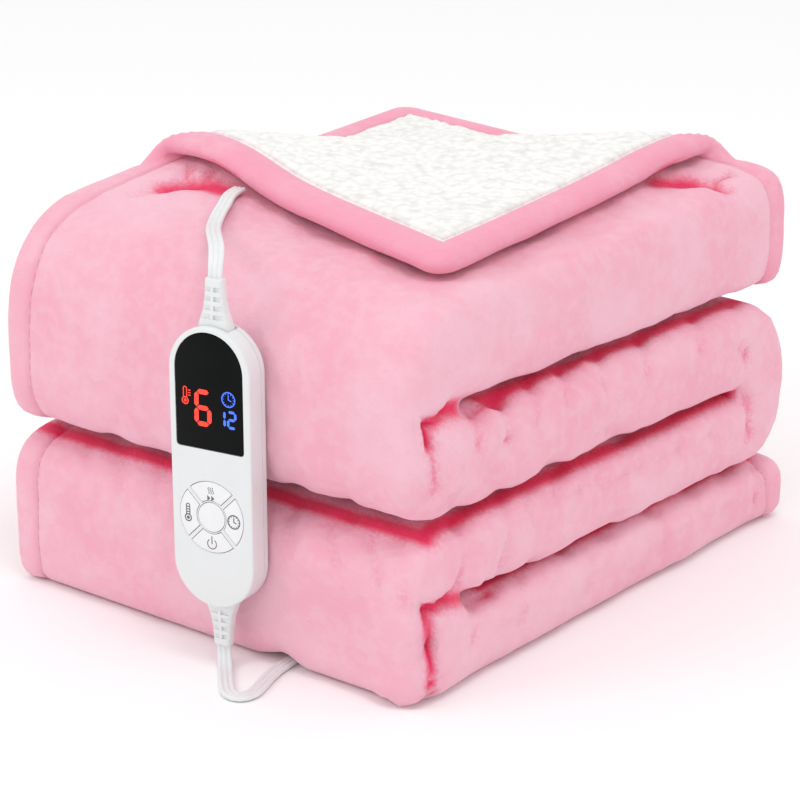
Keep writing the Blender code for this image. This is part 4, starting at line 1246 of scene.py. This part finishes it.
relief_foot = HANDSET_HEIGHT / 2 - RELIEF_SINK
for name, node, side in (("relief_top", "relief_upper", 1), ("relief_bottom", "relief_lower", -1)):
    bm = bmesh.new()
    rings = []
    for share, width, thick in RELIEF_SECTIONS:
        y = side * (relief_foot + share * RELIEF_LENGTH)
        rings.append([(x, y, RELIEF_MIDDLE + z) for x, z in oblong(width, thick)])
    lofted(bm, rings)
    relief = on_face(name, bm, relief_rubber, sharp=40.0)
    bm = bmesh.new()
    for share, floor in RELIEF_SLOTS:
        y = side * (relief_foot + share * RELIEF_LENGTH)
        for across in (-1, 1):
            near_spine, past = across * SPINE_HALF, across * SLOT_PAST
            slot = bar((near_spine, y), (past, y), SLOT_TALL / 2, False)
            slab(bm, slot, RELIEF_MIDDLE + floor, RELIEF_MIDDLE + SLOT_PAST)
            slab(bm, slot, RELIEF_MIDDLE - SLOT_PAST, RELIEF_MIDDLE - floor)
    slots = tool("relief_slots", bm)
    carve(relief, slots)
    bpy.data.objects.remove(slots, do_unlink=True)
    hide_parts(node)

# ---------------------------------------------------------------- cords
# A flat cord of three round cores in one white jacket. The upper one runs from the handset into the
# blanket under the turned corner. The lower one loops on the table, runs under the blanket, and is
# wound up behind it with its plug beside the coil.
CORD_WIDTH, CORD_THICK = 0.0090, 0.0030
GAP = 0.0003
FLOOR_CORD_Z = CORD_THICK / 2 + 0.0006
COIL_RADIUS, COIL_TURNS, COIL_PITCH, COIL_STEPS = 0.0500, 4.25, 0.0032, 40
COIL_CENTRE = Vector((TUNNEL_X - COIL_RADIUS, 0.262))
COIL_CLEAR = 0.0049  # from the middle of the coil's cord to where the tail is clear of it
PLUG_Z, TAIL_LENGTH = 0.0083, 0.020
LIES_DOWN = 0.35  # how soon the cord's width turns level along its way
UPPER_ROUTE = (
    (0.0307, -0.2181, 0.2325),
    (0.0307, -0.2181, 0.2345),
    (0.0303, -0.2172, 0.2395),
    (0.0272, -0.2130, 0.2440),
    (0.0205, -0.2055, 0.2465),
    (0.0100, -0.1950, 0.2465),
    (-0.0035, -0.1815, 0.2450),
    (-0.0165, -0.1680, 0.2425),
    (-0.0290, -0.1540, 0.2402),
    (-0.0380, -0.1423, 0.2400),
    (-0.0450, -0.1318, 0.2410),
    (-0.0515, -0.1203, 0.2426),
    (-0.0573, -0.1101, 0.2444),
    (-0.0604, -0.1020, 0.2452),
    (-0.0618, -0.0950, 0.2457),
)
LOWER_ROUTE = (
    (0.0307, -0.2181, 0.0136),
    (0.0308, -0.2182, 0.0114),
    (0.0316, -0.2190, 0.0070),
    (0.0342, -0.2216, 0.0038),
    (0.0380, -0.2254, 0.0024),
    (0.0460, -0.2338, FLOOR_CORD_Z),
    (0.0560, -0.2440, FLOOR_CORD_Z),
    (0.0640, -0.2500, FLOOR_CORD_Z),
    (0.0712, -0.2492, FLOOR_CORD_Z),
    (0.0735, -0.2420, FLOOR_CORD_Z),
    (0.0708, -0.2320, FLOOR_CORD_Z),
    (0.0665, -0.2200, FLOOR_CORD_Z),
    (0.0630, -0.2060, FLOOR_CORD_Z),
    (0.0608, -0.1850, FLOOR_CORD_Z),
    (TUNNEL_X, -0.1500, FLOOR_CORD_Z),
    (TUNNEL_X, -0.1000, FLOOR_CORD_Z),
    (TUNNEL_X, 0.0000, FLOOR_CORD_Z),
    (TUNNEL_X, 0.1000, FLOOR_CORD_Z),
    (TUNNEL_X, 0.1800, FLOOR_CORD_Z),
    (TUNNEL_X, COIL_CENTRE.y - 0.020, FLOOR_CORD_Z),
)

cord_jacket = moulded(
    "cord_jacket",
    120.0,
    (0.76, 0.775, 0.78),
    (0.82, 0.835, 0.84),
    gloss=(380.0, 0.12, 0.36),
    dimples=(1800.0, 2.0, 0.00003, 0.25),
    Roughness=0.42,
    IOR=1.45,
)


def smooth_route(route, step):
    """Points every step or so along one smooth curve through the route's points."""
    knots = [Vector(point) for point in route]
    ends = [2 * knots[0] - knots[1], *knots, 2 * knots[-1] - knots[-2]]
    points = [knots[0]]
    for before, here, there, after in zip(ends, ends[1:], ends[2:], ends[3:]):
        count = max(1, round((there - here).length / step))
        squares = 2 * before - 5 * here + 4 * there - after
        cubes = 3 * here - before - 3 * there + after
        for part in range(1, count + 1):
            t = part / count
            point = 2 * here + (there - before) * t + squares * t * t + cubes * t * t * t
            points.append(0.5 * point)
    return points


def cord_section():
    """Three round cores side by side in one jacket, as points round the cord's middle."""
    core = CORD_THICK / 2
    middle = CORD_WIDTH / 2 - core
    valley_x, valley_y = middle / 2, core * 0.42
    return [
        *arc((middle, 0), core, -110, 110, 10),
        (valley_x, valley_y),
        *arc((0, 0), core, 62, 118, 4),
        (-valley_x, valley_y),
        *arc((-middle, 0), core, 70, 290, 10),
        (-valley_x, -valley_y),
        *arc((0, 0), core, 242, 298, 4),
        (valley_x, -valley_y),
    ]


def flat_cord(name, points, first_side):
    """The jacket along a route. It starts with its width along first_side, and lies down flat."""
    section = cord_section()
    side = Vector(first_side)
    rings = []
    for index, point in enumerate(points):
        way = (points[min(index + 1, len(points) - 1)] - points[max(index - 1, 0)]).normalized()
        level = way.cross(up_way)
        if level.dot(side) < 0:
            level.negate()
        side += level * LIES_DOWN
        side = (side - way * side.dot(way)).normalized()
        face = way.cross(side)
        rings.append([point + side * x + face * y for x, y in section])
    bm = bmesh.new()
    lofted(bm, rings)
    return piece(name, bm, cord_jacket, sharp=50.0)


upper_points = smooth_route(UPPER_ROUTE, 0.0022)
upper_cord = flat_cord("cord_to_blanket", upper_points, across_way)
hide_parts("cord_upper")


def route_length(points):
    return sum((b - a).length for a, b in zip(points, points[1:]))


lower_points = smooth_route(LOWER_ROUTE, 0.004)
coil_points = []
for step in range(1, round(COIL_TURNS * COIL_STEPS) + 1):
    turn = step / COIL_STEPS
    angle = 2 * math.pi * turn
    coil_points.append(Vector((
        COIL_CENTRE.x + COIL_RADIUS * math.cos(angle),
        COIL_CENTRE.y + COIL_RADIUS * math.sin(angle),
        FLOOR_CORD_Z + COIL_PITCH * turn,
    )))
lane = COIL_CENTRE.y + COIL_RADIUS
clear = math.sqrt((COIL_RADIUS + COIL_CLEAR) ** 2 - (COIL_RADIUS - CORD_WIDTH / 2) ** 2)
plug_start = COIL_CENTRE.x - clear - GAP - TAIL_LENGTH
top_turn = COIL_TURNS * COIL_PITCH + FLOOR_CORD_Z
tail_route = (
    (COIL_CENTRE.x, lane, top_turn),
    (COIL_CENTRE.x - 0.012, lane, top_turn),
    (COIL_CENTRE.x - 0.024, lane, top_turn - 0.0006),
    (blend(COIL_CENTRE.x - 0.024, plug_start, 0.45), lane, blend(top_turn, PLUG_Z, 0.45)),
    (plug_start + 0.003, lane, PLUG_Z),
    (plug_start - 0.006, lane, PLUG_Z),
)
tail_points = smooth_route(tail_route, 0.003)
mains_points = [*lower_points, *coil_points, *tail_points[1:]]
mains_cord = flat_cord("cord_to_plug", mains_points, across_way)
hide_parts("cord_lower", "cord_coil", "cord_tail")

# The plug: a moulded body with a finger grip and a strain relief, and two flat blades.
PLUG_SECTIONS = (
    (0.0000, 0.0104, 0.0052),
    (0.0020, 0.0112, 0.0062),
    (0.0060, 0.0118, 0.0066),
    (0.0150, 0.0140, 0.0090),
    (0.0190, 0.0190, 0.0130),
    (0.0215, 0.0230, 0.0155),
    (0.0270, 0.0240, 0.0158),
    (0.0310, 0.0228, 0.0150),
    (0.0350, 0.0240, 0.0158),
    (0.0400, 0.0245, 0.0160),
    (0.0480, 0.0240, 0.0160),
    (0.0490, 0.0232, 0.0152),
    (0.0495, 0.0222, 0.0144),
)
BLADE, BLADE_ASIDE, BLADE_EDGE = (0.0170, 0.0015, 0.0063), 0.00635, 0.0005
BLADES = (("blade_near", "plug_blade_front", -1), ("blade_far", "plug_blade_back", 1))
bm = bmesh.new()
rings = []
for distance, width, thick in PLUG_SECTIONS:
    x = plug_start - distance
    rings.append([(x, lane + y, PLUG_Z + z) for y, z in oblong(width, thick)])
lofted(bm, rings)
plug = piece("mains_plug", bm, relief_rubber, sharp=50.0)
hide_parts("plug")
steel, shader, spot = surface("plug_steel", Metallic=1.0, Roughness=0.3)
spot.noise(500.0).colours(rgb(0.58, 0.58, 0.60), rgb(0.70, 0.70, 0.71)).feed(shader, "Base Color")
(spot.scaled((40.0, 900.0, 900.0)).noise(1.0) * 0.2 + 0.22).feed(shader, "Roughness")
tip = plug_start - PLUG_SECTIONS[-1][0] - GAP
for name, node, side in BLADES:
    centre = Vector((tip - BLADE[0] / 2, lane + side * BLADE_ASIDE, PLUG_Z))
    bm = bmesh.new()
    bmesh.ops.create_cube(bm, size=1.0)
    bmesh.ops.scale(bm, vec=BLADE, verts=bm.verts)
    bmesh.ops.translate(bm, vec=centre, verts=bm.verts)
    ends = [edge for edge in bm.edges if all(v.co.x < centre.x for v in edge.verts)]
    soften(bm, ends, BLADE_EDGE, 2)
    blade = piece(name, bm, steel, sharp=SHARP)
    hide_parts(node)

round(route_length(upper_points), 3)
round(route_length(mains_points), 3)
